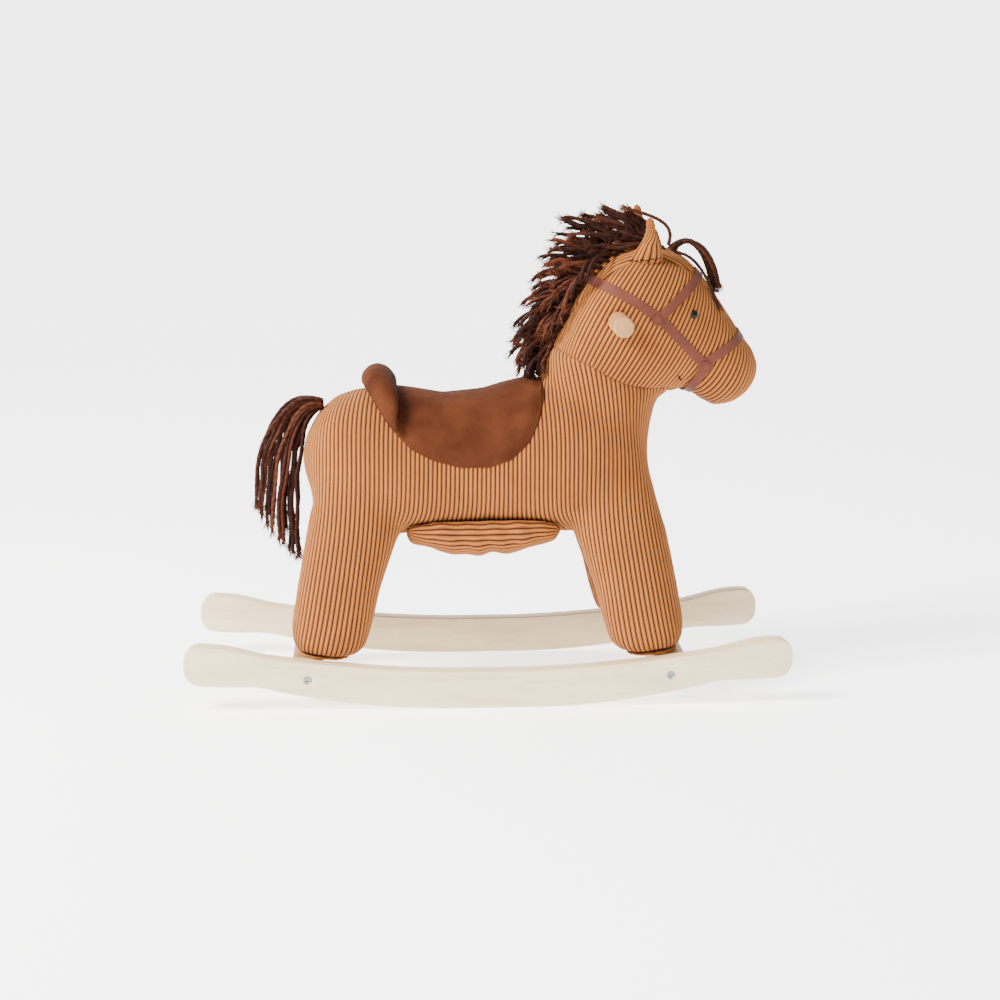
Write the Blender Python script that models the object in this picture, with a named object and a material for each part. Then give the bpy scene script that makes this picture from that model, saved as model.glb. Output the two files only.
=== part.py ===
"""Plush corduroy rocking horse on two wooden runners.

Metres, +Z up. The head points to +X, the horse's right side is -Y, and the origin is on the floor
under the middle of the runners. A wooden frame (runners, cross bars, leg posts, seat board, neck
board) stands inside a stuffed cover, and a round handle goes through the neck board.
"""
import math

import bmesh
import bpy
from mathutils import Vector

# Clearances
GAP = 0.0003                    # between pieces that touch
STUFFING_CLEARANCE = 0.001      # stuffing round the wooden frame
SCREW_CLEARANCE = 0.0002        # round a screw's shank, radial
SCREW_HEAD_ROOM = 0.006         # stuffing above and below the seat board, over the screw heads

# Runners
RUNNER_LENGTH = 0.730
TRACK_WIDTH = 0.280             # over the runners' outer faces
RUNNER_THICKNESS = 0.020
RUNNER_MID_DEPTH = 0.0455
REST_FLAT = 0.090               # flat stretch that stands on the floor
ROCK_RADIUS = 0.930             # underside, past the flat
RUNNER_TOP_RADIUS = 1.750
LOBE_LENGTH = 0.095             # fishtail at each end
LOBE_DEPTH = 0.049
LOBE_ROUNDING = 0.0195
RUNNER_EDGE = 0.0012

# Cross bars, leg posts and the boards inside
STANCE = 0.200                  # middle of the wooden joint at each pair of feet, from the middle
BAR_PLACE = STANCE + 0.018      # cross bars, from the middle
BAR_WIDTH = 0.036
BAR_DEPTH = 0.036
POST_LENGTHWISE = 0.024
POST_SIDEWAYS = 0.028
FOOT_Y = TRACK_WIDTH / 2 - 0.0495
POST_FOOT = (STANCE + 0.008, FOOT_Y - 0.0025)   # middle of a post's foot
POST_HEAD = (0.165, 0.062)      # middle of a post's head
SEAT_BOARD_LENGTH = 0.366
SEAT_BOARD_WIDTH = 0.156
SEAT_BOARD_THICKNESS = 0.012
SEAT_BOARD_UNDERSIDE = 0.285
NECK_BOARD_THICKNESS = 0.015
NECK_BOARD_REACH = 0.036        # round top, past the handle's axis
NECK_BOARD_BACK = 0.085
NECK_BOARD_FRONT = 0.178
NECK_BOARD_HEEL = 0.015         # height of its straight foot
NECK_BOARD_WAIST = (0.112, 0.172, 0.365)    # back, front and height

# Handle
HANDLE_LENGTH = 0.280
HANDLE_DIAMETER = 0.025
HANDLE_PLACE = (0.1565, 0.457)
HANDLE_FIT = 0.0003
HANDLE_EDGE = 0.002

# Screws
PAN_HEAD = 0.0024               # thickness of a flat screw head
COUNTERSINK = 0.0034            # depth of a sunk head
HEAD_RIM = 0.0008
SCREW_POINT = 2.2               # length of the point over the shank
DRIVE_DEPTH = 0.0016
DRIVE_SHARE = 0.42              # six-sided recess over the head
RUNNER_SCREW_HEAD = 0.0105
RUNNER_SCREW_SHANK = 0.0045
RUNNER_SCREW_LENGTH = 0.052
FRAME_SCREW_HEAD = 0.009
FRAME_SCREW_SHANK = 0.004
BAR_SCREW_LENGTH = 0.058
BAR_SCREW_SINK = 0.006          # depth of its head in the cross bar
SEAT_SCREW_LENGTH = 0.040
NECK_SCREW_LENGTH = 0.045
NECK_SCREW_PLACES = (("front", 0.160), ("rear", 0.105))
LOCK_SCREW_LENGTH = 0.030

# Soft parts
SOLE_LENGTH = 0.062
SOLE_WIDTH = 0.060
SOLE_THICKNESS = 0.003
SOLE_Y = FOOT_Y + 0.0015
SADDLE_THICKNESS = 0.006
STRAP_WIDTH = 0.0115
STRAP_THICKNESS = 0.0012
CANTLE_RADIUS = 0.019
CANTLE_HOOP = (0.191, 0.3675, 0.1055)   # underside, top and half width of the hoop it follows
CANTLE_SPREAD = 60                      # degrees to each side
CANTLE_PLACE = -0.133
CANTLE_SWEEP = 0.036                    # how far its ends come forward
CANTLE_TAPER = 0.86
CANTLE_LIFT = 0.32                      # of its radius, over the saddle
EYE_DIAMETER = 0.0105
EYE_PLACE = (0.2485, 0.0680, 0.4640)
EYE_FACES = (0.12, 1.0, 0.10)
EAR_ROOT = (0.1925, 0.040, 0.5180)
EAR_TIP = (0.1985, 0.058)
EAR_TIP_HEIGHT = {"right": 0.5810, "left": 0.5905}
MANE_WIDTH = 0.050
FORELOCK_WIDTH = 0.030

RING_SIDES = 22
LEG_SIDES = 16

# Stuffed shapes, as stations from end to end. Barrel and head: place along X, underside, top, half width.
BARREL = [
    (-0.2278, 0.280, 0.300, 0.022),
    (-0.2236, 0.262, 0.3090, 0.047),
    (-0.2148, 0.243, 0.3240, 0.067),
    (-0.2022, 0.222, 0.3430, 0.084),
    (-0.1800, 0.202, 0.3610, 0.098),
    (-0.1500, 0.192, 0.3690, 0.105),
    (-0.1100, 0.190, 0.3640, 0.106),
    (-0.0500, 0.194, 0.3530, 0.103),
    (0.0000, 0.196, 0.3580, 0.102),
    (0.0500, 0.194, 0.3740, 0.103),
    (0.1000, 0.190, 0.3800, 0.105),
    (0.1400, 0.192, 0.3650, 0.103),
    (0.1700, 0.200, 0.3450, 0.096),
    (0.1900, 0.215, 0.3200, 0.082),
    (0.2000, 0.235, 0.2950, 0.060),
    (0.2030, 0.255, 0.2800, 0.025),
]
HEAD = [
    (0.0745, 0.398, 0.4150, 0.018),
    (0.0830, 0.383, 0.4290, 0.044),
    (0.0950, 0.369, 0.4460, 0.060),
    (0.1070, 0.360, 0.4790, 0.071),
    (0.1271, 0.352, 0.5099, 0.080),
    (0.1539, 0.348, 0.5366, 0.0845),
    (0.1844, 0.350, 0.5480, 0.085),
    (0.2120, 0.355, 0.5455, 0.080),
    (0.2327, 0.3618, 0.5370, 0.075),
    (0.2463, 0.3672, 0.5289, 0.070),
    (0.2640, 0.3540, 0.5110, 0.064),
    (0.2839, 0.3445, 0.4846, 0.060),
    (0.3056, 0.3480, 0.4525, 0.054),
    (0.3211, 0.3580, 0.4300, 0.044),
    (0.3320, 0.3705, 0.4170, 0.030),
    (0.3385, 0.3850, 0.4000, 0.012),
]
BELLY = [
    (-0.1060, 0.196, 0.226, 0.050),
    (-0.0950, 0.184, 0.232, 0.078),
    (-0.0600, 0.172, 0.234, 0.091),
    (-0.0150, 0.166, 0.234, 0.093),
    (0.0400, 0.171, 0.234, 0.091),
    (0.0850, 0.184, 0.232, 0.078),
    (0.0980, 0.196, 0.226, 0.050),
]
# Neck: height, back, front, half width.
NECK = [
    (0.255, 0.066, 0.1990, 0.098),
    (0.290, 0.066, 0.2025, 0.090),
    (0.320, 0.066, 0.2058, 0.082),
    (0.345, 0.067, 0.2115, 0.077),
    (0.370, 0.068, 0.2220, 0.074),
    (0.400, 0.072, 0.2260, 0.073),
    (0.425, 0.084, 0.2150, 0.068),
]
# Leg: height, share of the way out to the foot along the horse, half size along it, the same across it.
LEG_HIP = (0.150, 0.050)
LEG_FOOT = (STANCE - 0.0035, FOOT_Y)
LEG = [
    (0.0620, 1.000, 0.0380, 1.000, 0.0360),
    (0.0720, 0.914, 0.0460, 0.963, 0.0430),
    (0.0894, 0.865, 0.0494, 0.914, 0.0460),
    (0.1050, 0.791, 0.0508, 0.864, 0.0470),
    (0.1340, 0.677, 0.0518, 0.741, 0.0480),
    (0.1710, 0.462, 0.0552, 0.519, 0.0490),
    (0.2000, 0.280, 0.0580, 0.321, 0.0490),
    (0.2300, 0.086, 0.0610, 0.123, 0.0480),
    (0.2600, 0.000, 0.0600, 0.000, 0.0460),
]
# Ear: share of the way up, half size along and across the horse.
EAR = [
    (0.00, 0.0185, 0.0120),
    (0.25, 0.0165, 0.0110),
    (0.50, 0.0120, 0.0085),
    (0.75, 0.0070, 0.0058),
    (0.93, 0.0045, 0.0042),
    (1.00, 0.0022, 0.0022),
]
SADDLE_OUTLINE = [
    (-0.158, 0.425),
    (-0.153, 0.385),
    (-0.140, 0.3635),
    (-0.117, 0.3326),
    (-0.093, 0.3083),
    (-0.066, 0.2945),
    (-0.033, 0.2858),
    (0.002, 0.2856),
    (0.028, 0.2945),
    (0.050, 0.3154),
    (0.0625, 0.3454),
    (0.0662, 0.379),
    (0.0665, 0.425),
]
# Strap paths over the head's side, x and height.
STRAPS = {
    "bridle_headstall": [(0.0900, 0.5180), (0.1243, 0.5050), (0.1576, 0.4910), (0.1813, 0.4775),
                         (0.2068, 0.4600), (0.2349, 0.4310), (0.2700, 0.3960)],
    "bridle_browband": [(0.2060, 0.4620), (0.2376, 0.4895), (0.2830, 0.5230)],
    "bridle_noseband": [(0.2620, 0.4040), (0.2889, 0.4205), (0.3330, 0.4430)],
    "bridle_chinstrap": [(0.2640, 0.4020), (0.2560, 0.3810), (0.2440, 0.3520)],
}
MANE_OUTLINE = [
    (0.2300, 0.5380),
    (0.2270, 0.5520),
    (0.2024, 0.5780),
    (0.1558, 0.5895),
    (0.1192, 0.5785),
    (0.0926, 0.5429),
    (0.0647, 0.4919),
    (0.0378, 0.4393),
    (0.0341, 0.4147),
    (0.0420, 0.3890),
    (0.0660, 0.3960),
    (0.1000, 0.4400),
    (0.1500, 0.5100),
]
FORELOCK_OUTLINE = [
    (0.2350, 0.5360),
    (0.2420, 0.5500),
    (0.2580, 0.5480),
    (0.2720, 0.5260),
    (0.2830, 0.5030),
    (0.2900, 0.4750),
    (0.2780, 0.4800),
    (0.2500, 0.5150),
]
# Tail: place along X, height, half thickness along the path, half width across.
TAIL = [
    (-0.2060, 0.3520, 0.0060, 0.0080),
    (-0.2150, 0.3535, 0.0085, 0.0130),
    (-0.2330, 0.3450, 0.0140, 0.0180),
    (-0.2480, 0.3220, 0.0180, 0.0220),
    (-0.2540, 0.2900, 0.0205, 0.0260),
    (-0.2565, 0.2500, 0.0230, 0.0280),
    (-0.2580, 0.2100, 0.0240, 0.0290),
    (-0.2600, 0.1640, 0.0220, 0.0270),
]

RUNNER_MIDDLE_Y = (TRACK_WIDTH - RUNNER_THICKNESS) / 2
RUNNER_INNER_Y = TRACK_WIDTH / 2 - RUNNER_THICKNESS
SIDES = (("right", -1), ("left", 1))
ENDS = (("front", 1), ("rear", -1))
SEAT_TOP = SEAT_BOARD_UNDERSIDE + SEAT_BOARD_THICKNESS


# Objects and materials

def clear_scene():
    for item in list(bpy.data.objects):
        bpy.data.objects.remove(item, do_unlink=True)


def material(name, colour, roughness, metallic=0.0):
    made = bpy.data.materials.new(name)
    made.use_nodes = True
    shader = made.node_tree.nodes["Principled BSDF"]
    shader.inputs["Base Color"].default_value = (*colour, 1.0)
    shader.inputs["Roughness"].default_value = roughness
    shader.inputs["Metallic"].default_value = metallic
    made.diffuse_color = (*colour, 1.0)
    return made


BIRCH = (0.78, 0.70, 0.60)
PLYWOOD = (0.66, 0.50, 0.33)
HANDLE_WOOD = (0.82, 0.69, 0.50)
ZINC = (0.62, 0.63, 0.65)
CORDUROY = (0.56, 0.31, 0.16)
SUEDE = (0.26, 0.085, 0.032)
RIBBON = (0.35, 0.11, 0.075)
YARN = (0.045, 0.013, 0.007)
BLACK = (0.01, 0.01, 0.011)


def add_object(name, bm, colour, roughness, metallic=0.0, smooth=40.0):
    """Closes a bmesh into an object; faces under the angle are shaded smooth."""
    bmesh.ops.recalc_face_normals(bm, faces=bm.faces)
    mesh = bpy.data.meshes.new(name)
    bm.to_mesh(mesh)
    bm.free()
    mesh.shade_smooth()
    mesh.set_sharp_from_angle(angle=math.radians(smooth))
    made = bpy.data.objects.new(name, mesh)
    bpy.context.collection.objects.link(made)
    mesh.materials.append(material(name, colour, roughness, metallic))
    return made


def add_tool(name, bm):
    """A shape that only cuts or trims other pieces."""
    made = add_object(name, bm, BLACK, 0.5)
    made.hide_render = True
    made.display_type = "WIRE"
    return made


def combine(target, tool, operation):
    step = target.modifiers.new(tool.name, "BOOLEAN")
    step.operation = operation
    step.object = tool
    step.solver = "EXACT"


def cut(target, *tools):
    for tool in tools:
        combine(target, tool, "DIFFERENCE")


# Shapes

def superellipse(angle, half_a, half_b, power=2.3):
    c = math.cos(angle)
    s = math.sin(angle)
    a = math.copysign(abs(c) ** (2 / power), c) * half_a
    b = math.copysign(abs(s) ** (2 / power), s) * half_b
    return a, b


def smooth_through(points, steps):
    """Points of a Catmull-Rom curve through the given points, steps to each stretch."""
    found = []
    last = len(points) - 1
    for i in range(last):
        p0 = points[max(i - 1, 0)]
        p1 = points[i]
        p2 = points[i + 1]
        p3 = points[min(i + 2, last)]
        for k in range(steps):
            t = k / steps
            found.append(tuple(
                0.5 * (2 * b + (c - a) * t + (2 * a - 5 * b + 4 * c - d) * t * t
                       + (3 * b - a - 3 * c + d) * t ** 3)
                for a, b, c, d in zip(p0, p1, p2, p3)))
    found.append(tuple(points[last]))
    return found


def bridge(rings):
    """A closed body through rings of equal length, each end closed round a middle point.

    Its walls are triangles cut along the same diagonal, so a bigger copy stays clear of it all round.
    """
    bm = bmesh.new()
    rows = [[bm.verts.new(p) for p in ring] for ring in rings]
    count = len(rows[0])
    for low, high in zip(rows, rows[1:]):
        for k in range(count):
            m = (k + 1) % count
            bm.faces.new((low[k], low[m], high[m]))
            bm.faces.new((low[k], high[m], high[k]))
    for row in (rows[0], rows[-1]):
        middle = bm.verts.new(sum((v.co for v in row), Vector()) / count)
        for k in range(count):
            bm.faces.new((row[k], row[(k + 1) % count], middle))
    return bm


def lengthwise(stations, grow=0.0, sides=RING_SIDES):
    """A stuffed body along X; grow makes it bigger all round."""
    rings = []
    middle = (stations[0][0] + stations[-1][0]) / 2
    reach = (stations[-1][0] - stations[0][0]) / 2
    for x, low, high, half in stations:
        spread = 1 + grow / reach
        ring = []
        for k in range(sides):
            y, z = superellipse(math.tau * k / sides, half + grow, (high - low) / 2 + grow)
            ring.append((middle + (x - middle) * spread, y, (low + high) / 2 + z))
        rings.append(ring)
    return bridge(rings)


def neck_body(grow=0.0):
    rings = []
    for z, back, front, half in NECK:
        ring = []
        for k in range(RING_SIDES):
            x, y = superellipse(math.tau * k / RING_SIDES, (front - back) / 2 + grow, half + grow)
            ring.append(((back + front) / 2 + x, y, z))
        rings.append(ring)
    return bridge(rings)


def sole_plane(x):
    """Height of the plane that the soles' undersides lie in, just over the runners' tops."""
    slope = math.tan(sole_angle())
    touch = runner_top(STANCE)
    return touch + 2 * GAP + (abs(x) - STANCE) * slope


def sole_angle():
    return math.asin(STANCE / RUNNER_TOP_RADIUS)


def leg_body(end, side, grow=0.0):
    """A leg from its sole to inside the barrel; its lowest ring lies on the sole."""
    rings = []
    x_sole = STANCE - SOLE_THICKNESS * math.sin(sole_angle())
    foot = []
    for k in range(LEG_SIDES):
        a, b = superellipse(math.tau * k / LEG_SIDES, SOLE_LENGTH / 2 + grow, SOLE_WIDTH / 2 + grow)
        x = x_sole + a
        z = sole_plane(x) + SOLE_THICKNESS + GAP - grow
        foot.append((end * x, side * (SOLE_Y + b), z))
    rings.append(foot)
    for z, share_x, half_x, share_y, half_y in LEG:
        x = LEG_HIP[0] + (LEG_FOOT[0] - LEG_HIP[0]) * share_x
        y = LEG_HIP[1] + (LEG_FOOT[1] - LEG_HIP[1]) * share_y
        ring = []
        tilt = max(0.0, 1 - (z - LEG[0][0]) / 0.06) * math.tan(sole_angle())
        for k in range(LEG_SIDES):
            a, b = superellipse(math.tau * k / LEG_SIDES, half_x + grow, half_y + grow)
            ring.append((end * (x + a), side * (y + b), z + a * tilt))
        rings.append(ring)
    return bridge(rings)


def slab(outline, y_low, y_high):
    """A side-view outline (x, z) drawn out across the horse."""
    bm = bmesh.new()
    near = [bm.verts.new((x, y_low, z)) for x, z in outline]
    far = [bm.verts.new((x, y_high, z)) for x, z in outline]
    bm.faces.new(near)
    bm.faces.new(far[::-1])
    for k in range(len(outline)):
        m = (k + 1) % len(outline)
        bm.faces.new((near[m], near[k], far[k], far[m]))
    return bm


def band(path, width):
    """Outline of a strap in the side view: a path (x, z) given a width."""
    points = [Vector(p) for p in path]
    upper = []
    lower = []
    for k, point in enumerate(points):
        along = (points[min(k + 1, len(points) - 1)] - points[max(k - 1, 0)]).normalized()
        across = Vector((-along.y, along.x)) * width / 2
        upper.append(tuple(point + across))
        lower.append(tuple(point - across))
    return lower + upper[::-1]


def turned(profile, start, direction, sides=10):
    """A turned body: profile (distance along, radius) round an axis from start."""
    axis = Vector(direction).normalized()
    turn = Vector((0, 0, 1)).rotation_difference(axis).to_matrix()
    rings = []
    for along, radius in profile:
        ring = []
        for k in range(sides):
            angle = math.tau * (k + 0.5) / sides
            spot = Vector((radius * math.cos(angle), radius * math.sin(angle), along))
            ring.append(Vector(start) + turn @ spot)
        rings.append(ring)
    return bridge(rings)


def rod(start, direction, length, radius, sides=10, overrun=0.0):
    return turned([(-overrun, radius), (length + overrun, radius)], start, direction, sides)


# Runners

def runner_underside(x):
    past = max(0.0, abs(x) - REST_FLAT / 2)
    return ROCK_RADIUS - math.sqrt(ROCK_RADIUS ** 2 - past ** 2)


def runner_top(x):
    return RUNNER_MID_DEPTH + RUNNER_TOP_RADIUS - math.sqrt(RUNNER_TOP_RADIUS ** 2 - x ** 2)


def runner_edges(x, trim=0.0):
    """Underside and top of the runner at a place; past the arcs it swells to the fishtail."""
    start = RUNNER_LENGTH / 2 - LOBE_LENGTH
    into = abs(x) - start
    if into <= 0:
        return runner_underside(x) + trim, runner_top(x) - trim
    low = runner_underside(start)
    high = runner_top(start)
    slope = (start / RUNNER_TOP_RADIUS + (start - REST_FLAT / 2) / ROCK_RADIUS) / 2
    middle = (low + high) / 2 + slope * into * (1 - into / (2 * LOBE_LENGTH))
    t = min(1.0, into / (0.62 * LOBE_LENGTH))
    ease = t * t * (3 - 2 * t)
    half = (high - low) / 2 * (1 - ease) + LOBE_DEPTH / 2 * ease - trim
    return middle - half, middle + half


def runner_stations():
    """Places along the runner with the part of the end rounding that applies there."""
    half = RUNNER_LENGTH / 2
    arc_end = half - LOBE_LENGTH
    places = [(REST_FLAT / 2, 0.0)]
    arcs = 11
    for k in range(1, arcs + 1):
        places.append((REST_FLAT / 2 + (arc_end - REST_FLAT / 2) * k / arcs, 0.0))
    corner = half - LOBE_ROUNDING
    lobe = 6
    for k in range(1, lobe + 1):
        places.append((arc_end + (corner - arc_end) * k / lobe, 0.0))
    turns = 4
    for k in range(1, turns + 1):
        angle = math.pi / 2 * k / turns
        places.append((corner + LOBE_ROUNDING * math.sin(angle), LOBE_ROUNDING * (1 - math.cos(angle))))
    return [(-x, trim) for x, trim in reversed(places)] + places


def make_runner(word, side):
    bm = bmesh.new()
    rows = []
    for x, trim in runner_stations():
        low, high = runner_edges(x, trim)
        row = []
        for y, z in ((-1, low), (1, low), (1, high), (-1, high)):
            row.append(bm.verts.new((x, side * RUNNER_MIDDLE_Y + y * RUNNER_THICKNESS / 2, z)))
        rows.append(row)
    for a, b in zip(rows, rows[1:]):
        for k in range(4):
            m = (k + 1) % 4
            bm.faces.new((a[k], a[m], b[m], b[k]))
    bm.faces.new(rows[0])
    bm.faces.new(rows[-1][::-1])
    runner = add_object(f"runner_{word}", bm, BIRCH, 0.55)
    edge = runner.modifiers.new("edge", "BEVEL")
    edge.width = RUNNER_EDGE
    edge.segments = 1
    edge.limit_method = "ANGLE"
    edge.angle_limit = math.radians(60)
    return runner


# Cross bars, posts and boards

def bar_spot(x, depth):
    """A point at a place along the sole plane and a depth under it, seen from the side."""
    lean = Vector((math.sin(sole_angle()), -math.cos(sole_angle())))
    top = Vector((x, sole_plane(x) - GAP))
    return top + lean * depth


def screw_height():
    """Runner screws sit at the runner's mid-depth."""
    return (runner_underside(BAR_PLACE) + runner_top(BAR_PLACE)) / 2


def make_crossbar(word, end):
    half = BAR_WIDTH / 2
    corners = [bar_spot(BAR_PLACE - half, 0), bar_spot(BAR_PLACE + half, 0),
               bar_spot(BAR_PLACE + half, BAR_DEPTH), bar_spot(BAR_PLACE - half, BAR_DEPTH)]
    outline = [(end * p.x, p.y) for p in corners]
    reach = RUNNER_INNER_Y - GAP
    bar = add_object(f"crossbar_{word}", slab(outline, -reach, reach), PLYWOOD, 0.6)
    edge = bar.modifiers.new("edge", "BEVEL")
    edge.width = 0.0015
    edge.segments = 1
    edge.limit_method = "ANGLE"
    edge.angle_limit = math.radians(60)
    return bar


def post_ends(end, side):
    foot = Vector((end * POST_FOOT[0], side * POST_FOOT[1], sole_plane(POST_FOOT[0])))
    head = Vector((end * POST_HEAD[0], side * POST_HEAD[1], SEAT_BOARD_UNDERSIDE - GAP))
    return foot, head


def post_body(end, side, grow=0.0, overrun=0.0):
    """A post whose foot lies on the cross bar and whose head lies under the seat board."""
    foot, head = post_ends(end, side)
    axis = (head - foot).normalized()
    rings = []
    for middle, past in ((foot, -overrun), (head, overrun)):
        ring = []
        for a, b in ((-1, -1), (1, -1), (1, 1), (-1, 1)):
            x = middle.x + a * (POST_LENGTHWISE / 2 + grow)
            y = middle.y + b * (POST_SIDEWAYS / 2 + grow)
            z = middle.z
            if middle is foot:
                z = sole_plane(x)
            ring.append(Vector((x, y, z)) + axis * past)
        rings.append(ring)
    return bridge(rings)


def seat_board_outline():
    half = SEAT_BOARD_LENGTH / 2
    corner = SEAT_BOARD_WIDTH / 4
    side = SEAT_BOARD_WIDTH / 2
    points = []
    for sx, sy, start in ((1, 1, 0), (-1, 1, 90), (-1, -1, 180), (1, -1, 270)):
        for k in range(5):
            angle = math.radians(start + 90 * k / 4)
            points.append((sx * (half - corner) + corner * math.cos(angle),
                           sy * (side - corner) + corner * math.sin(angle)))
    return points


def plate(outline, z_low, z_high, grow=0.0):
    bm = bmesh.new()
    rows = []
    for z in (z_low, z_high):
        row = []
        for x, y in outline:
            out = Vector((x, y)).normalized() * grow
            row.append(bm.verts.new((x + out.x, y + out.y, z)))
        rows.append(row)
    low, high = rows
    bm.faces.new(low[::-1])
    bm.faces.new(high)
    for k in range(len(low)):
        m = (k + 1) % len(low)
        bm.faces.new((low[k], low[m], high[m], high[k]))
    return bm


def neck_board_outline(grow=0.0, down=0.0):
    """Side view: a foot on the seat board, a waist in the neck, a round head about the handle."""
    x, z = HANDLE_PLACE
    reach = NECK_BOARD_REACH + grow
    base = SEAT_TOP + GAP - down
    back = NECK_BOARD_BACK - grow
    front = NECK_BOARD_FRONT + grow
    heel = SEAT_TOP + NECK_BOARD_HEEL
    waist_back, waist_front, waist = NECK_BOARD_WAIST
    points = [(back, base), (front, base), (front, heel), (waist_front + grow, waist)]
    for k in range(9):
        angle = math.radians(-20 + 220 * k / 8)
        points.append((x + reach * math.cos(angle), z + reach * math.sin(angle)))
    points += [(waist_back - grow, waist), (back, heel)]
    return points


# Screws

def recessed_screw(name, start, direction, head, shank, length, countersunk):
    """A wood screw from its head's outer face, with a six-sided driver recess."""
    if countersunk:
        profile = [(0, head / 2), (HEAD_RIM, head / 2), (COUNTERSINK, shank / 2)]
    else:
        profile = [(0, head / 2 - 0.0006), (0.0006, head / 2), (PAN_HEAD, head / 2), (PAN_HEAD, shank / 2)]
    profile += [(length - SCREW_POINT * shank, shank / 2), (length - 0.0006, 0.0005)]
    screw = add_object(name, turned(profile, start, direction), ZINC, 0.3, 1.0)
    drive = add_tool(name + ".drive", rod(start, direction, DRIVE_DEPTH, head * DRIVE_SHARE / 2, 6, 0.0006))
    cut(screw, drive)
    return screw


def screw_hole(name, start, direction, head, shank, length, countersunk):
    """The clearance that a screw needs, as one cutter."""
    c = SCREW_CLEARANCE
    wide = head / 2 + c
    thin = shank / 2 + c
    if countersunk:
        profile = [(-0.004, wide), (HEAD_RIM + c, wide), (COUNTERSINK + c, thin)]
    else:
        profile = [(-0.004, wide), (PAN_HEAD + c, wide), (PAN_HEAD + c + 0.0001, thin)]
    profile += [(length + 0.001, thin)]
    return add_tool(name + ".hole", turned(profile, start, direction))


# Assembly

def build_frame():
    """Runners, bars, posts, boards, handle and every screw, with their holes."""
    runners = {side: make_runner(word, side) for word, side in SIDES}
    bars = {end: make_crossbar(word, end) for word, end in ENDS}
    seat = add_object("seat_board", plate(seat_board_outline(), SEAT_BOARD_UNDERSIDE, SEAT_TOP), PLYWOOD, 0.6)
    neck = add_object(
        "neck_board", slab(neck_board_outline(), -NECK_BOARD_THICKNESS / 2, NECK_BOARD_THICKNESS / 2), PLYWOOD, 0.6)
    for end_word, end in ENDS:
        for side_word, side in SIDES:
            tag = f"{end_word}_{side_word}"
            post = add_object(f"leg_post_{tag}", post_body(end, side), PLYWOOD, 0.6)
            runner_screw(tag, end, side, runners[side], bars[end])
            bar_screw(tag, end, side, bars[end], post)
            seat_screw(tag, end, side, seat, post)
    for number, x in NECK_SCREW_PLACES:
        start = (x, 0, SEAT_BOARD_UNDERSIDE - PAN_HEAD)
        size = (start, (0, 0, 1), FRAME_SCREW_HEAD, FRAME_SCREW_SHANK, NECK_SCREW_LENGTH, False)
        recessed_screw(f"neck_screw_{number}", *size)
        cut(seat, screw_hole(f"neck_screw_{number}", *size))
        cut(neck, bpy.data.objects[f"neck_screw_{number}.hole"])
    make_handle(neck)


def runner_screw(tag, end, side, runner, bar):
    start = (end * BAR_PLACE, side * (TRACK_WIDTH / 2 - 0.0004), screw_height())
    size = (start, (0, -side, 0), RUNNER_SCREW_HEAD, RUNNER_SCREW_SHANK, RUNNER_SCREW_LENGTH, True)
    recessed_screw(f"runner_screw_{tag}", *size)
    hole = screw_hole(f"runner_screw_{tag}", *size)
    cut(runner, hole)
    cut(bar, hole)


def bar_screw(tag, end, side, bar, post):
    """Up through the cross bar into the post's foot, its head sunk in the bar's underside."""
    foot, head = post_ends(end, side)
    direction = (head - foot).normalized()
    start = foot - direction * (BAR_DEPTH - BAR_SCREW_SINK)
    size = (start, direction, FRAME_SCREW_HEAD, FRAME_SCREW_SHANK, BAR_SCREW_LENGTH, False)
    recessed_screw(f"bar_screw_{tag}", *size)
    hole = screw_hole(f"bar_screw_{tag}", *size)
    shaft = add_tool(f"bar_screw_{tag}.sink",
                     rod(start, -direction, 2 * BAR_SCREW_SINK, FRAME_SCREW_HEAD / 2 + SCREW_CLEARANCE))
    cut(bar, hole, shaft)
    cut(post, hole)


def seat_screw(tag, end, side, seat, post):
    """Down through the seat board into the post's head."""
    foot, head = post_ends(end, side)
    start = (head.x, head.y, SEAT_TOP + PAN_HEAD)
    size = (start, (0, 0, -1), FRAME_SCREW_HEAD, FRAME_SCREW_SHANK, SEAT_SCREW_LENGTH, False)
    recessed_screw(f"seat_screw_{tag}", *size)
    hole = screw_hole(f"seat_screw_{tag}", *size)
    cut(seat, hole)
    cut(post, hole)


def handle_tool(name, extra):
    x, z = HANDLE_PLACE
    return add_tool(name, rod((x, -HANDLE_LENGTH / 2, z), (0, 1, 0), HANDLE_LENGTH,
                              HANDLE_DIAMETER / 2 + extra, 24, 0.005))


def make_handle(neck):
    """One dowel right through the neck board, held by a screw from the board's front edge."""
    x, z = HANDLE_PLACE
    r = HANDLE_DIAMETER / 2
    e = HANDLE_EDGE
    profile = [(0, r - e), (e * 0.3, r - e * 0.3), (e, r),
               (HANDLE_LENGTH - e, r), (HANDLE_LENGTH - e * 0.3, r - e * 0.3), (HANDLE_LENGTH, r - e)]
    dowel = turned(profile, (x, -HANDLE_LENGTH / 2, z), (0, 1, 0), 24)
    handle = add_object("handle_dowel", dowel, HANDLE_WOOD, 0.5)
    cut(neck, handle_tool("handle.bore", HANDLE_FIT))
    start = (x, 0, z + NECK_BOARD_REACH + 0.0005)
    size = (start, (0, 0, -1), FRAME_SCREW_HEAD, FRAME_SCREW_SHANK, LOCK_SCREW_LENGTH, True)
    recessed_screw("handle_lock_screw", *size)
    hole = screw_hole("handle_lock_screw", *size)
    cut(neck, hole)
    cut(handle, hole)


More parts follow.
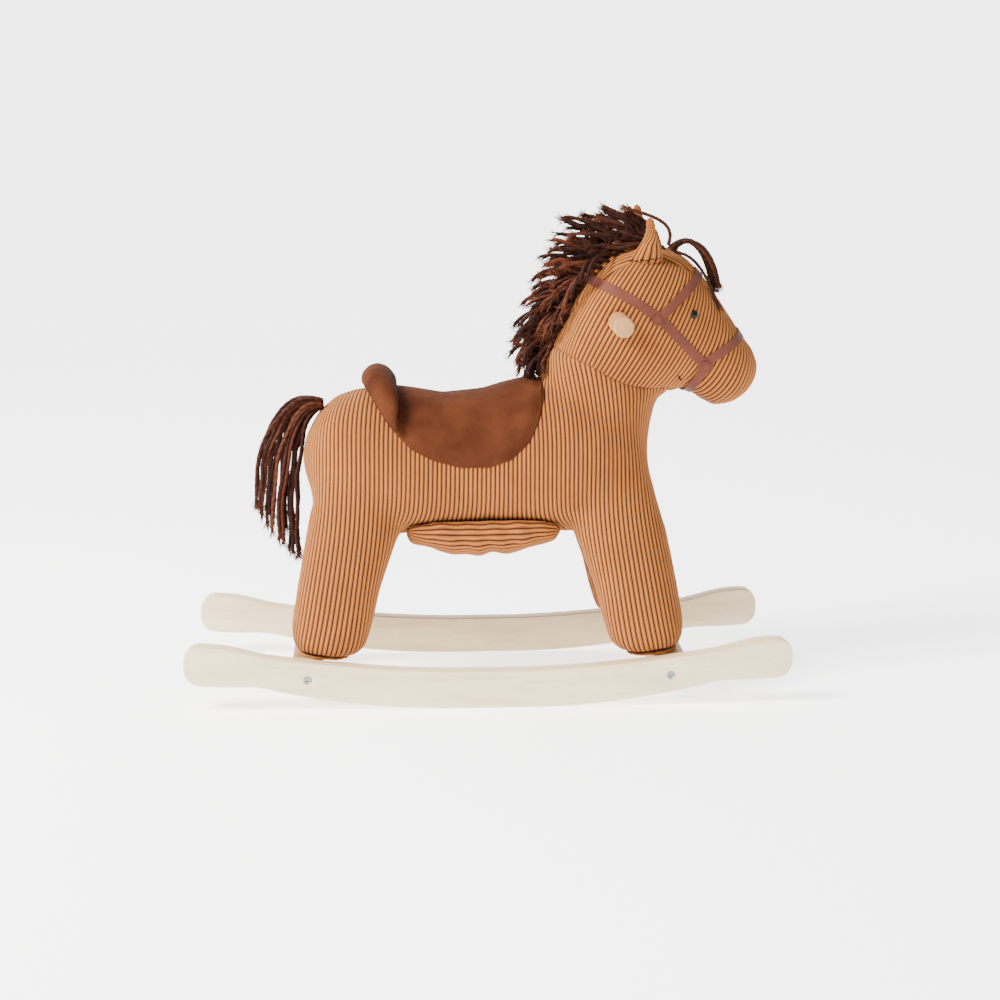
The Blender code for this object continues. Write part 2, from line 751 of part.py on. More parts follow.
def frame_room():
    """Cutters for the room that the stuffing leaves round the wooden frame."""
    room = []
    c = STUFFING_CLEARANCE
    seat = plate(seat_board_outline(), SEAT_BOARD_UNDERSIDE - SCREW_HEAD_ROOM, SEAT_TOP + SCREW_HEAD_ROOM, c)
    room.append(add_tool("seat_board.room", seat))
    half = NECK_BOARD_THICKNESS / 2 + c
    room.append(add_tool("neck_board.room", slab(neck_board_outline(c, 0.004), -half, half)))
    for end_word, end in ENDS:
        for side_word, side in SIDES:
            post = post_body(end, side, c, 0.004)
            room.append(add_tool(f"leg_post_{end_word}_{side_word}.room", post))
    return room


def build_plush():
    """The stuffed cover: barrel and neck in one, four legs, belly gusset, head and soles."""
    room = frame_room()
    posts = {}
    for end_word, end in ENDS:
        for side_word, side in SIDES:
            posts[(end, side)] = bpy.data.objects[f"leg_post_{end_word}_{side_word}.room"]
    barrel_skin = add_tool("barrel.skin", lengthwise(BARREL, GAP))
    head_skin = add_tool("head.skin", lengthwise(HEAD, GAP))
    body = add_object("body_plush", lengthwise(BARREL), CORDUROY, 0.9)
    combine(body, add_tool("neck", neck_body()), "UNION")
    cut(body, head_skin, *room)
    belly = add_object("belly_gusset", lengthwise(BELLY), CORDUROY, 0.9)
    cut(belly, barrel_skin)
    for end_word, end in ENDS:
        for side_word, side in SIDES:
            tag = f"{end_word}_{side_word}"
            leg = add_object(f"leg_plush_{tag}", leg_body(end, side), CORDUROY, 0.9)
            cut(leg, barrel_skin, posts[(end, side)])
            cut(belly, add_tool(f"leg_{tag}.skin", leg_body(end, side, GAP)))
            make_sole(tag, end, side, posts[(end, side)])
    head = add_object("head_plush", lengthwise(HEAD), CORDUROY, 0.9)
    cut(head, bpy.data.objects["neck_board.room"], handle_tool("handle.room", STUFFING_CLEARANCE))
    lock = turned([(-0.006, 0.006), (0.012, 0.006)],
                  (HANDLE_PLACE[0], 0, HANDLE_PLACE[1] + NECK_BOARD_REACH), (0, 0, -1))
    cut(head, add_tool("handle_lock.room", lock))
    return head_skin


def make_sole(tag, end, side, post_room):
    x_sole = STANCE - SOLE_THICKNESS * math.sin(sole_angle())
    rings = []
    for up in (0.0, SOLE_THICKNESS):
        ring = []
        for k in range(LEG_SIDES):
            a, b = superellipse(math.tau * k / LEG_SIDES, SOLE_LENGTH / 2, SOLE_WIDTH / 2)
            x = x_sole + a
            ring.append((end * x, side * (SOLE_Y + b), sole_plane(x) + up))
        rings.append(ring)
    sole = add_object(f"hoof_sole_{tag}", bridge(rings), CORDUROY, 0.9)
    cut(sole, post_room)


def build_saddle():
    """A padded seat shell that drapes over the barrel, with a roll along its back edge."""
    outer = lengthwise(BARREL, SADDLE_THICKNESS + GAP)
    saddle = add_object("saddle", outer, SUEDE, 0.85)
    outline = smooth_through(SADDLE_OUTLINE, 3)
    half = TRACK_WIDTH / 2
    combine(saddle, add_tool("saddle.outline", slab(outline, -half, half)), "INTERSECT")
    cut(saddle, bpy.data.objects["barrel.skin"], add_tool("neck.skin", neck_body(GAP)))
    cantle = add_object("saddle_cantle", cantle_body(), SUEDE, 0.85)
    cut(cantle, add_tool("saddle.skin", lengthwise(BARREL, SADDLE_THICKNESS + 2 * GAP)))


def cantle_body():
    """A crescent roll over the horse's back: thick on top, thin at its two lower ends."""
    low, high, half = CANTLE_HOOP
    rise = SADDLE_THICKNESS + 2 * GAP
    turns = 14
    widest = math.radians(CANTLE_SPREAD)
    rings = []
    for k in range(turns + 1):
        t = 2 * k / turns - 1
        angle = t * widest
        radius = CANTLE_RADIUS * (1 - CANTLE_TAPER * abs(t) ** 2.2)
        lift = rise + radius * CANTLE_LIFT
        z, y = superellipse(angle, (high - low) / 2 + lift, half + lift)
        out = Vector((0, math.sin(angle), math.cos(angle)))
        x = CANTLE_PLACE + CANTLE_SWEEP * abs(t) ** 1.6
        middle = Vector((x, y, (low + high) / 2 + z))
        ring = []
        for m in range(12):
            turn = math.tau * m / 12
            ring.append(middle + Vector((radius * 1.05 * math.cos(turn), 0, 0)) + out * radius * math.sin(turn))
        rings.append(ring)
    return bridge(rings)


def build_bridle(head_skin):
    """Flat straps over the head, each the head's own skin raised by its thickness."""
    half = TRACK_WIDTH / 2
    for name, path in STRAPS.items():
        strap = add_object(name, lengthwise(HEAD, STRAP_THICKNESS + GAP), RIBBON, 0.8)
        combine(strap, add_tool(name + ".band", slab(band(path, STRAP_WIDTH), -half, half)), "INTERSECT")
        cut(strap, head_skin)
    wide = slab(band(STRAPS["bridle_headstall"], STRAP_WIDTH + 2 * GAP), -half, half)
    headstall = add_tool("headstall.edge", wide)
    for name in ("bridle_browband", "bridle_noseband", "bridle_chinstrap"):
        cut(bpy.data.objects[name], headstall)


def build_face(head_skin):
    for word, side in SIDES:
        ear = add_object(f"ear_{word}", ear_body(word, side), CORDUROY, 0.9)
        cut(ear, head_skin)
        spot = Vector((EYE_PLACE[0], side * EYE_PLACE[1], EYE_PLACE[2]))
        faces = (EYE_FACES[0], side * EYE_FACES[1], EYE_FACES[2])
        profile = [(-0.004, EYE_DIAMETER * 0.40), (0.0005, EYE_DIAMETER / 2), (0.0018, EYE_DIAMETER * 0.44),
                   (0.0028, EYE_DIAMETER * 0.28), (0.0032, EYE_DIAMETER * 0.10)]
        eye = add_object(f"eye_{word}", turned(profile, spot, faces, 14), BLACK, 0.25)
        cut(eye, head_skin)


def ear_body(word, side):
    """A folded cone that leans outwards a little, its root inside the head's skin."""
    tip = Vector((EAR_TIP[0], side * EAR_TIP[1], EAR_TIP_HEIGHT[word]))
    root = Vector((EAR_ROOT[0], side * EAR_ROOT[1], EAR_ROOT[2]))
    rings = []
    for t, half_x, half_y in EAR:
        middle = root.lerp(tip, t)
        ring = []
        for k in range(12):
            a, b = superellipse(math.tau * k / 12, half_x, half_y, 2.0)
            ring.append((middle.x + a, middle.y + b, middle.z))
        rings.append(ring)
    return bridge(rings)


def build_hair():
    """Plain bodies of the yarn mane, forelock and tail."""
    strap_skin = add_tool("strap.skin", lengthwise(HEAD, STRAP_THICKNESS + 2 * GAP))
    neck_skin = bpy.data.objects["neck.skin"]
    saddle_skin = bpy.data.objects["saddle.skin"]
    mane = add_object("mane", slab(smooth_through(MANE_OUTLINE, 2), -MANE_WIDTH / 2, MANE_WIDTH / 2), YARN, 0.9)
    cut(mane, strap_skin, neck_skin, saddle_skin)
    half = FORELOCK_WIDTH / 2
    forelock = add_object("forelock", slab(smooth_through(FORELOCK_OUTLINE, 2), -half, half), YARN, 0.9)
    cut(forelock, strap_skin)
    rings = []
    for k, (x, z, thick, wide) in enumerate(TAIL):
        before = TAIL[max(k - 1, 0)]
        after = TAIL[min(k + 1, len(TAIL) - 1)]
        along = Vector((after[0] - before[0], 0, after[1] - before[1])).normalized()
        out = Vector((-along.z, 0, along.x))
        ring = []
        for m in range(14):
            a, b = superellipse(math.tau * m / 14, thick, wide, 2.0)
            ring.append(Vector((x, b, z)) + out * a)
        rings.append(ring)
    tail = add_object("tail", bridge(rings), YARN, 0.9)
    cut(tail, add_tool("rump.skin", lengthwise(BARREL, 3 * GAP)))


clear_scene()
build_frame()
HEAD_SKIN = build_plush()
build_saddle()
build_bridle(HEAD_SKIN)
build_face(HEAD_SKIN)
build_hair()
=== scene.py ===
# %% [markdown]
# # A corduroy rocking horse
# The toy is a stuffed cover of wide-wale corduroy, sewn round a small wooden frame that stands on two
# birch runners. The frame, its screws and its one joint come packed in a model, and this lesson builds
# what the eye sees round it: the ribbed cover, the suede saddle, the ribbon bridle and the yarn hair.

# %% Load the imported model
import math
import random

import bmesh
import bpy
import numpy as np
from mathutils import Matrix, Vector
from mathutils.bvhtree import BVHTree
from mathutils.kdtree import KDTree


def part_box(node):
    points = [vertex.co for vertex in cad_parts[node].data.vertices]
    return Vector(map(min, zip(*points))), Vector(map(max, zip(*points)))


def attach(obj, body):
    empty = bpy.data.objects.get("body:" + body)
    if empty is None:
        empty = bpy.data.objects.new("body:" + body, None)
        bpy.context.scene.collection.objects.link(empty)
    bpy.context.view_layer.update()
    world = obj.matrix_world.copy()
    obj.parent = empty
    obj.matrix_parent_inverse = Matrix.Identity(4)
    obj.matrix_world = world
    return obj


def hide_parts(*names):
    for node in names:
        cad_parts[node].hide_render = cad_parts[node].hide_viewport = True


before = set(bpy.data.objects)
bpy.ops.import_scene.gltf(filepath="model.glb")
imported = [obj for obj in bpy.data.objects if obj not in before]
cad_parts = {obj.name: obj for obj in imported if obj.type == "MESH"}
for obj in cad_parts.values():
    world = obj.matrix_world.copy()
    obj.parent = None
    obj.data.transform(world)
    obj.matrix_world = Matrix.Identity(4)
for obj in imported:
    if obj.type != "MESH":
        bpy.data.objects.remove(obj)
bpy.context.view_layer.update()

# %% [markdown]
# ## Camera, floor and light
# A toy is shown on a white sweep: a floor that turns up into a wall with no corner, so no line crosses
# behind the toy. One big soft light stands high on the left, a weaker one fills from the right, and the
# sky light keeps the shadows pale.

# %% Camera and sweep
def aim(thing, target):
    thing.rotation_euler = (Vector(target) - thing.location).to_track_quat("-Z", "Y").to_euler()


camera = bpy.data.objects.new("camera", bpy.data.cameras.new("camera"))
bpy.context.scene.collection.objects.link(camera)
camera.location = (-0.12554, -2.62705, 0.73827)
camera.data.lens = 77.51
camera.data.sensor_width = 36.0
aim(camera, (0.01937, 0.0, 0.22709))
bpy.context.scene.camera = camera

SWEEP_SIZE = 14.0
SWEEP_GLOW = 2.6


def grab(*things):
    """Selects these objects alone; the first is the active one."""
    if bpy.context.object and bpy.context.object.mode != "OBJECT":
        bpy.ops.object.mode_set(mode="OBJECT")
    bpy.ops.object.select_all(action="DESELECT")
    for thing in things:
        thing.hide_set(False)
        thing.select_set(True)
    bpy.context.view_layer.objects.active = things[0]


bpy.ops.object.select_all(action="DESELECT")
bpy.ops.mesh.primitive_plane_add(size=SWEEP_SIZE, location=(0, 0, 0))
floor = bpy.context.object
floor.name = "floor"
bpy.ops.object.mode_set(mode="EDIT")
bpy.ops.mesh.select_mode(type="EDGE")
bpy.ops.mesh.select_all(action="DESELECT")
bpy.ops.object.mode_set(mode="OBJECT")
for edge in floor.data.edges:
    edge.select = all(floor.data.vertices[v].co.y > SWEEP_SIZE / 2 - 0.01 for v in edge.vertices)
bpy.ops.object.mode_set(mode="EDIT")
bpy.ops.mesh.extrude_region_move(TRANSFORM_OT_translate={"value": (0, 0, SWEEP_SIZE / 2)})
bpy.ops.object.mode_set(mode="OBJECT")
bend = floor.modifiers.new("bend", "BEVEL")
bend.width = SWEEP_SIZE / 5
bend.segments = 24
bpy.ops.object.modifier_apply(modifier="bend")
bpy.ops.object.shade_smooth()
sweep = bpy.data.materials.new("white_sweep")
sweep.use_nodes = True
paper = sweep.node_tree.nodes["Principled BSDF"].inputs
paper["Base Color"].default_value = (0.93, 0.93, 0.93, 1.0)
paper["Roughness"].default_value = 0.9
paper["Emission Color"].default_value = (1.0, 1.0, 1.0, 1.0)
paper["Emission Strength"].default_value = SWEEP_GLOW
floor.data.materials.append(sweep)
print("floor", len(floor.data.polygons), "faces")


def lamp(name, place, size, power, target=(0, 0, 0.25), colour=(1, 1, 1)):
    data = bpy.data.lights.new(name, "AREA")
    data.shape = "DISK"
    data.size = size
    data.energy = power
    data.color = colour
    made = bpy.data.objects.new(name, data)
    bpy.context.scene.collection.objects.link(made)
    made.location = place
    aim(made, target)
    return made


KEY_POWER = 320
FILL_POWER = 3
SKY = 0.75
lamp("key", (-2.0, -1.0, 2.3), 1.2, KEY_POWER, colour=(1.0, 0.985, 0.96))
lamp("fill", (2.2, -1.6, 1.5), 1.8, FILL_POWER)
world = bpy.data.worlds.new("sky")
world.use_nodes = True
world.node_tree.nodes["Background"].inputs["Color"].default_value = (1, 1, 1, 1)
world.node_tree.nodes["Background"].inputs["Strength"].default_value = SKY
bpy.context.scene.world = world

# %% [markdown]
# ## Finishes
# Each finish is a small node tree on one principled shader. A helper wires the trees, so that each
# finish reads as a short recipe: where it looks up its pattern, what it mixes, and what it bumps.

# %% Helpers for node trees
class Finish:
    """A material with one principled shader, and short calls that add and wire nodes."""

    def __init__(self, name, roughness, **sockets):
        self.material = bpy.data.materials.new(name)
        self.material.use_nodes = True
        self.tree = self.material.node_tree
        self.shader = self.tree.nodes["Principled BSDF"]
        self.shader.inputs["Roughness"].default_value = roughness
        for socket, value in sockets.items():
            self.shader.inputs[socket.replace("_", " ")].default_value = value
        self.place = self.node("ShaderNodeTexCoord").outputs["Object"]

    def node(self, kind, **values):
        made = self.tree.nodes.new(kind)
        for key, value in values.items():
            setattr(made, key, value)
        return made

    def join(self, out, into):
        self.tree.links.new(out, into)

    def feed(self, socket, value):
        if hasattr(value, "is_linked"):
            self.join(value, socket)
        else:
            socket.default_value = value

    def math(self, operation, a, b=0.0, c=0.0):
        made = self.node("ShaderNodeMath", operation=operation)
        for k, value in enumerate((a, b, c)):
            self.feed(made.inputs[k], value)
        return made.outputs[0]

    def stretch(self, scale, source=None, turn=(0, 0, 0)):
        made = self.node("ShaderNodeMapping")
        made.inputs["Scale"].default_value = scale
        made.inputs["Rotation"].default_value = turn
        self.join(source or self.place, made.inputs["Vector"])
        return made.outputs[0]

    def noise(self, scale, detail=3.0, source=None, rough=0.55):
        made = self.node("ShaderNodeTexNoise")
        made.inputs["Scale"].default_value = scale
        made.inputs["Detail"].default_value = detail
        made.inputs["Roughness"].default_value = rough
        self.join(source or self.place, made.inputs["Vector"])
        return made.outputs["Fac"]

    def ramp(self, fac, *stops):
        made = self.node("ShaderNodeValToRGB")
        elements = made.color_ramp.elements
        while len(elements) < len(stops):
            elements.new(0.5)
        for element, (place, colour) in zip(elements, stops):
            element.position = place
            element.color = (*colour, 1.0) if len(colour) == 3 else colour
        self.join(fac, made.inputs["Fac"])
        return made.outputs["Color"]

    def mix(self, fac, a, b, blend="MIX"):
        made = self.node("ShaderNodeMix", data_type="RGBA", blend_type=blend)
        self.feed(made.inputs["Factor"], fac)
        for socket, value in ((made.inputs[6], a), (made.inputs[7], b)):
            self.feed(socket, (*value, 1.0) if isinstance(value, tuple) else value)
        return made.outputs[2]

    def attribute(self, name):
        return self.node("ShaderNodeAttribute", attribute_name=name)

    def uv(self, name):
        made = self.node("ShaderNodeUVMap", uv_map=name)
        split = self.node("ShaderNodeSeparateXYZ")
        self.join(made.outputs["UV"], split.inputs["Vector"])
        return made.outputs["UV"], split.outputs["X"], split.outputs["Y"]

    def colour(self, value):
        self.join(value, self.shader.inputs["Base Color"])

    def roughness(self, value):
        self.join(value, self.shader.inputs["Roughness"])

    def bump(self, height, strength, distance):
        made = self.node("ShaderNodeBump")
        made.inputs["Strength"].default_value = strength
        made.inputs["Distance"].default_value = distance
        self.join(height, made.inputs["Height"])
        self.join(made.outputs["Normal"], self.shader.inputs["Normal"])


# %% [markdown]
# Corduroy is woven with rows of cut pile, the wales. The row's back catches the light and the valley
# between two rows stays dark, and this light and shade is painted into the colour: painted light on the
# row's back, painted shade on the flanks and in the valley, all following the same rib number that
# shapes the mesh. The rib number is kept in a UV map: u counts ribs across the cloth, v is the distance
# to the nearest seam.

# %% Corduroy
# painted light and shade: the colours of a wale's back, its flanks and its valley, from lit to dark
RIB_CREST_PAINTED_LIGHT = (0.420, 0.158, 0.030)
RIB_FLANK_PAINTED_SHADE = (0.250, 0.084, 0.020)
RIB_VALLEY_PAINTED_SHADE = (0.030, 0.007, 0.003)
SEAM_SHADE = (0.120, 0.034, 0.012)


def corduroy(name, lighter=0.0):
    cloth = Finish(name, 0.92, Sheen_Weight=0.08, Sheen_Roughness=0.45)
    cloth.shader.inputs["Sheen Tint"].default_value = (1.0, 0.84, 0.70, 1.0)
    cloth.shader.inputs["Specular IOR Level"].default_value = 0.12
    _, across, seam = cloth.uv("ribs")
    share = cloth.math("FRACT", across)
    valley = cloth.math("MULTIPLY", cloth.math("ABSOLUTE", cloth.math("SUBTRACT", share, 0.5)), 2.0)
    pile = cloth.noise(620.0, 4.0)
    valley = cloth.math("ADD", valley, cloth.math("MULTIPLY", cloth.math("SUBTRACT", pile, 0.5), 0.26))
    # painted light on the row's back, painted shade on the flanks and deep painted shade in the valley
    rows = cloth.ramp(valley, (0.0, RIB_CREST_PAINTED_LIGHT), (0.40, RIB_FLANK_PAINTED_SHADE), (0.60, RIB_FLANK_PAINTED_SHADE), (0.88, RIB_VALLEY_PAINTED_SHADE))
    blotch = cloth.ramp(cloth.noise(14.0, 3.0), (0.32, (0.90, 0.87, 0.84)), (0.68, (1.06, 1.05, 1.04)))
    colour = cloth.mix(1.0, rows, blotch, "MULTIPLY")
    fluff = cloth.ramp(cloth.noise(1500.0, 2.0), (0.25, (0.84, 0.82, 0.80)), (0.75, (1.12, 1.10, 1.08)))
    colour = cloth.mix(1.0, colour, fluff, "MULTIPLY")
    # painted light: lighter mixes the colour towards a paler brown, which lifts a piece that sits in deep
    # shade
    if lighter:
        colour = cloth.mix(lighter, colour, (0.50, 0.20, 0.05))
    near_seam = cloth.math("LESS_THAN", seam, 0.0011)
    colour = cloth.mix(cloth.math("MULTIPLY", near_seam, 0.40), colour, SEAM_SHADE)
    cloth.colour(colour)
    cloth.bump(cloth.math("ADD", pile, cloth.noise(1500.0, 2.0)), 0.35, 0.0006)
    return cloth.material


cover_cloth = corduroy("corduroy")
# painted light: a paler copy of the corduroy for the soles, which sit in deep shade under the feet
sole_cloth_painted_light = corduroy("sole_corduroy_painted_light", 0.7)
print("finish", cover_cloth.name)

# %% [markdown]
# The saddle is brushed suede cloth: almost no gloss, a fine nap, and soft clouds where the nap was
# stroked the other way.

# %% Suede
def suede():
    cloth = Finish("suede", 0.95)
    cloth.shader.inputs["Specular IOR Level"].default_value = 0.05
    clouds = cloth.ramp(cloth.noise(26.0, 4.0), (0.30, (0.046, 0.0130, 0.0056)),
                        (0.70, (0.082, 0.0250, 0.0105)))
    nap = cloth.ramp(cloth.noise(900.0, 3.0), (0.2, (0.80, 0.78, 0.76)), (0.8, (1.16, 1.14, 1.12)))
    cloth.colour(cloth.mix(1.0, clouds, nap, "MULTIPLY"))
    cloth.bump(cloth.noise(1100.0, 3.0), 0.30, 0.0005)
    return cloth.material


saddle_cloth = suede()


def ribbon():
    cloth = Finish("ribbon", 0.78, Sheen_Weight=0.06, Sheen_Roughness=0.4)
    cloth.shader.inputs["Specular IOR Level"].default_value = 0.2
    _, along, across = cloth.uv("weave")
    wale = cloth.math("SINE", cloth.math("MULTIPLY", along, 5200.0))
    weft = cloth.math("SINE", cloth.math("MULTIPLY", across, 6400.0))
    weave = cloth.math("MULTIPLY_ADD", cloth.math("MULTIPLY", wale, weft), 0.5, 0.5)
    tone = cloth.ramp(cloth.noise(60.0, 3.0), (0.3, (0.096, 0.0250, 0.0140)), (0.7, (0.122, 0.0335, 0.0190)))
    thread = cloth.ramp(weave, (0.0, (0.84, 0.82, 0.80)), (1.0, (1.08, 1.08, 1.08)))
    cloth.colour(cloth.mix(1.0, tone, thread, "MULTIPLY"))
    cloth.bump(weave, 0.35, 0.0003)
    return cloth.material


ribbon_cloth = ribbon()


def thread(name, colour):
    cloth = Finish(name, 0.9)
    cloth.shader.inputs["Specular IOR Level"].default_value = 0.05
    tone = cloth.ramp(cloth.noise(900.0), (0.3, tuple(c * 0.7 for c in colour)), (0.7, colour))
    cloth.colour(tone)
    cloth.bump(cloth.noise(1600.0), 0.3, 0.0002)
    return cloth.material


dark_thread = thread("dark_thread", (0.022, 0.008, 0.004))
ribbon_thread = thread("ribbon_thread", (0.105, 0.028, 0.018))

# %% [markdown]
# The runners are birch with a thin white wash: the grain still shows as long pale streaks, and faces
# that point up are mixed towards a warmer, darker tone. The handle is bare turned wood.

# %% Wood
def wood(name, pale, streak, along, warm=None, gloss=0.45, ring=70.0):
    board = Finish(name, gloss)
    board.shader.inputs["Specular IOR Level"].default_value = 0.35
    grain = board.stretch(along)
    long_streak = board.noise(ring, 5.0, grain, 0.6)
    fine = board.noise(ring * 9, 3.0, grain)
    colour = board.ramp(long_streak, (0.34, streak), (0.56, pale))
    fleck = board.ramp(fine, (0.30, (0.93, 0.92, 0.90)), (0.62, (1.02, 1.02, 1.02)))
    colour = board.mix(1.0, colour, fleck, "MULTIPLY")
    # faces that point up are mixed towards the warm colour
    if warm:
        up = board.node("ShaderNodeSeparateXYZ")
        board.join(board.node("ShaderNodeNewGeometry").outputs["Normal"], up.inputs["Vector"])
        facing = board.math("SMOOTH_MIN", board.math("MAXIMUM", up.outputs["Z"], 0.0), 1.0, 0.2)
        colour = board.mix(board.math("MULTIPLY", facing, 0.75), colour, warm)
    board.colour(colour)
    board.roughness(board.math("MULTIPLY_ADD", fine, 0.2, gloss - 0.1))
    board.bump(board.math("ADD", fine, long_streak), 0.12, 0.0004)
    return board.material


runner_wood = wood("birch_wash", (0.74, 0.62, 0.39), (0.66, 0.525, 0.315), (0.12, 1.0, 1.0),
                   warm=(0.66, 0.45, 0.22))
inner_wood = wood("plain_pine", (0.46, 0.25, 0.10), (0.34, 0.16, 0.06), (0.15, 1.0, 1.0))
handle_wood = wood("turned_birch", (0.44, 0.215, 0.078), (0.36, 0.165, 0.055), (1.0, 0.10, 1.0), gloss=0.4)


def metal(name, colour, roughness):
    steel = Finish(name, roughness, Metallic=1.0)
    tone = steel.ramp(steel.noise(400.0), (0.3, tuple(c * 0.8 for c in colour)), (0.7, colour))
    steel.colour(tone)
    steel.roughness(steel.math("MULTIPLY_ADD", steel.noise(700.0), 0.2, roughness - 0.1))
    return steel.material


zinc = metal("zinc", (0.26, 0.26, 0.27), 0.34)


def bead():
    glass = Finish("eye_black", 0.22)
    glass.shader.inputs["Specular IOR Level"].default_value = 0.10
    tone = glass.ramp(glass.noise(300.0), (0.3, (0.004, 0.004, 0.005)), (0.7, (0.012, 0.012, 0.014)))
    glass.colour(tone)
    return glass.material


eye_black = bead()


def yarn():
    cord = Finish("yarn", 0.62, Sheen_Weight=0.05, Sheen_Roughness=0.35)
    cord.shader.inputs["Specular IOR Level"].default_value = 0.10
    cord.shader.inputs["Sheen Tint"].default_value = (0.9, 0.5, 0.35, 1.0)
    shade = cord.attribute("tone").outputs["Fac"]
    own = cord.ramp(shade, (0.0, (0.010, 0.0026, 0.0015)), (0.55, (0.030, 0.0080, 0.0042)),
                    (1.0, (0.110, 0.030, 0.012)))
    fleck = cord.ramp(cord.noise(900.0, 3.0), (0.25, (0.55, 0.5, 0.5)), (0.75, (1.35, 1.3, 1.25)))
    cord.colour(cord.mix(1.0, own, fleck, "MULTIPLY"))
    cord.bump(cord.noise(1400.0, 2.0), 0.4, 0.0003)
    return cord.material


hair_yarn = yarn()
print("finishes made:", len(bpy.data.materials))

# %% [markdown]
# ## The stuffed cover
# Body, legs and head are cut from the same cloth and sewn together round the frame, so they are shaped
# as one skin first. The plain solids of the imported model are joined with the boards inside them, and a
# voxel remesh turns the sum into one even grid of small faces. Only its outermost shell is kept.

# %% Join the plain solids and remesh them
LEGS = [f"leg_plush_{end}_{side}" for end in ("front", "rear") for side in ("right", "left")]
POSTS = [name.replace("plush", "post") for name in LEGS]


def solids(name, nodes, merge=1e-5):
    """One new object that holds copies of these nodes' meshes, with their loose triangles joined."""
    bm = bmesh.new()
    for node in nodes:
        part = bmesh.new()
        part.from_mesh(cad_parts[node].data)
        bmesh.ops.remove_doubles(part, verts=part.verts, dist=merge)
        mesh = bpy.data.meshes.new("part")
        part.to_mesh(mesh)
        part.free()
        bm.from_mesh(mesh)
        bpy.data.meshes.remove(mesh)
    mesh = bpy.data.meshes.new(name)
    bm.to_mesh(mesh)
    bm.free()
    made = bpy.data.objects.new(name, mesh)
    bpy.context.scene.collection.objects.link(made)
    return made


def remesh(piece, voxel):
    grab(piece)
    step = piece.modifiers.new("remesh", "REMESH")
    step.mode = "VOXEL"
    step.voxel_size = voxel
    bpy.ops.object.modifier_apply(modifier="remesh")


def keep_largest(piece):
    """Removes the shells inside, and leaves the one with the most faces."""
    bm = bmesh.new()
    bm.from_mesh(piece.data)
    bm.verts.ensure_lookup_table()
    seen = set()
    shells = []
    for first in bm.verts:
        if first in seen:
            continue
        group = [first]
        seen.add(first)
        for vert in group:
            for edge in vert.link_edges:
                other = edge.other_vert(vert)
                if other not in seen:
                    seen.add(other)
                    group.append(other)
        shells.append(group)
    shells.sort(key=len)
    bmesh.ops.delete(bm, geom=[v for group in shells[:-1] for v in group], context="VERTS")
    bm.to_mesh(piece.data)
    bm.free()


def plug(name, place, radius, length):
    """A round bar across the horse that fills the handle's bore while the skin is made."""
    bpy.ops.object.select_all(action="DESELECT")
    bpy.ops.mesh.primitive_cylinder_add(vertices=32, radius=radius, depth=length, location=place,
                                        rotation=(math.pi / 2, 0, 0))
    made = bpy.context.object
    made.name = name
    bpy.ops.object.transform_apply(location=True, rotation=True, scale=True)
    return made


SKIN_VOXEL = 0.0055
handle_low, handle_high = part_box("handle_dowel")
handle_axis = (handle_low + handle_high) / 2
handle_radius = (handle_high.z - handle_low.z) / 2
skin = solids("skin", ["body_plush", "head_plush", *LEGS, *POSTS, "seat_board", "neck_board"])
core = plug("core", handle_axis, handle_radius + 0.002, 0.150)
inner = plug("inner", (0.0, 0.0, 0.275), 0.030, 0.12)
grab(skin, core, inner)
bpy.ops.object.join()
remesh(skin, SKIN_VOXEL)
keep_largest(skin)
print("skin", len(skin.data.vertices), "points")

# %% [markdown]
# The stuffing is blown in and pushes the cloth out between the seams. Cloth simulation does the same: a
# little pressure, no gravity, and no point may move further than a few millimetres, so that the toy
# keeps its size. The skin starts slightly slimmer to leave room for the swelling.

# %% Stuff a skin with pressure
def stuff(piece, slim, cap, pressure=4.0, frames=20, held=None):
    """Swells a closed mesh with the Cloth modifier; no point ends further than cap from where it was."""
    mesh = piece.data
    rest = np.empty(len(mesh.vertices) * 3, np.float32)
    mesh.vertices.foreach_get("co", rest)
    rest = rest.reshape(-1, 3).astype(float)
    normals = np.empty(len(mesh.vertices) * 3, np.float32)
    mesh.vertices.foreach_get("normal", normals)
    normals = normals.reshape(-1, 3).astype(float)
    start = rest - normals * slim
    mesh.vertices.foreach_set("co", start.astype(np.float32).ravel())
    mesh.update()
    cloth = piece.modifiers.new("stuffing", "CLOTH")
    settings = cloth.settings
    settings.quality = 4
    settings.mass = 0.3
    settings.tension_stiffness = 15
    settings.compression_stiffness = 15
    settings.shear_stiffness = 8
    settings.bending_stiffness = 2.0
    settings.use_pressure = True
    settings.uniform_pressure_force = pressure
    settings.effector_weights.gravity = 0.0
    if held is not None:
        group = piece.vertex_groups.new(name="seams")
        for k in np.nonzero(held)[0]:
            group.add([int(k)], 1.0, "REPLACE")
        settings.vertex_group_mass = "seams"
    cloth.point_cache.frame_start = 1
    cloth.point_cache.frame_end = frames
    for moment in range(1, frames + 1):
        bpy.context.scene.frame_set(moment)
    solved = piece.evaluated_get(bpy.context.evaluated_depsgraph_get())
    swollen = np.empty(len(mesh.vertices) * 3, np.float32)
    solved.data.vertices.foreach_get("co", swollen)
    swollen = swollen.reshape(-1, 3).astype(float)
    piece.modifiers.clear()
    bpy.context.scene.frame_set(1)
    move = swollen - rest
    far = np.linalg.norm(move, axis=1, keepdims=True)
    move *= np.minimum(1.0, cap / np.maximum(far, 1e-9))
    final = rest + move
    mesh.vertices.foreach_set("co", final.astype(np.float32).ravel())
    mesh.update()
    print(piece.name, "swelled; a point moved", round(float(far.mean()) * 1000, 2), "mm on average")


def even_out(piece, factor=0.5, rounds=3):
    grab(piece)
    step = piece.modifiers.new("even", "SMOOTH")
    step.factor = factor
    step.iterations = rounds
    bpy.ops.object.modifier_apply(modifier="even")


even_out(skin, 0.5, 4)
stuff(skin, slim=0.0020, cap=0.0030)
even_out(skin, 0.4, 2)

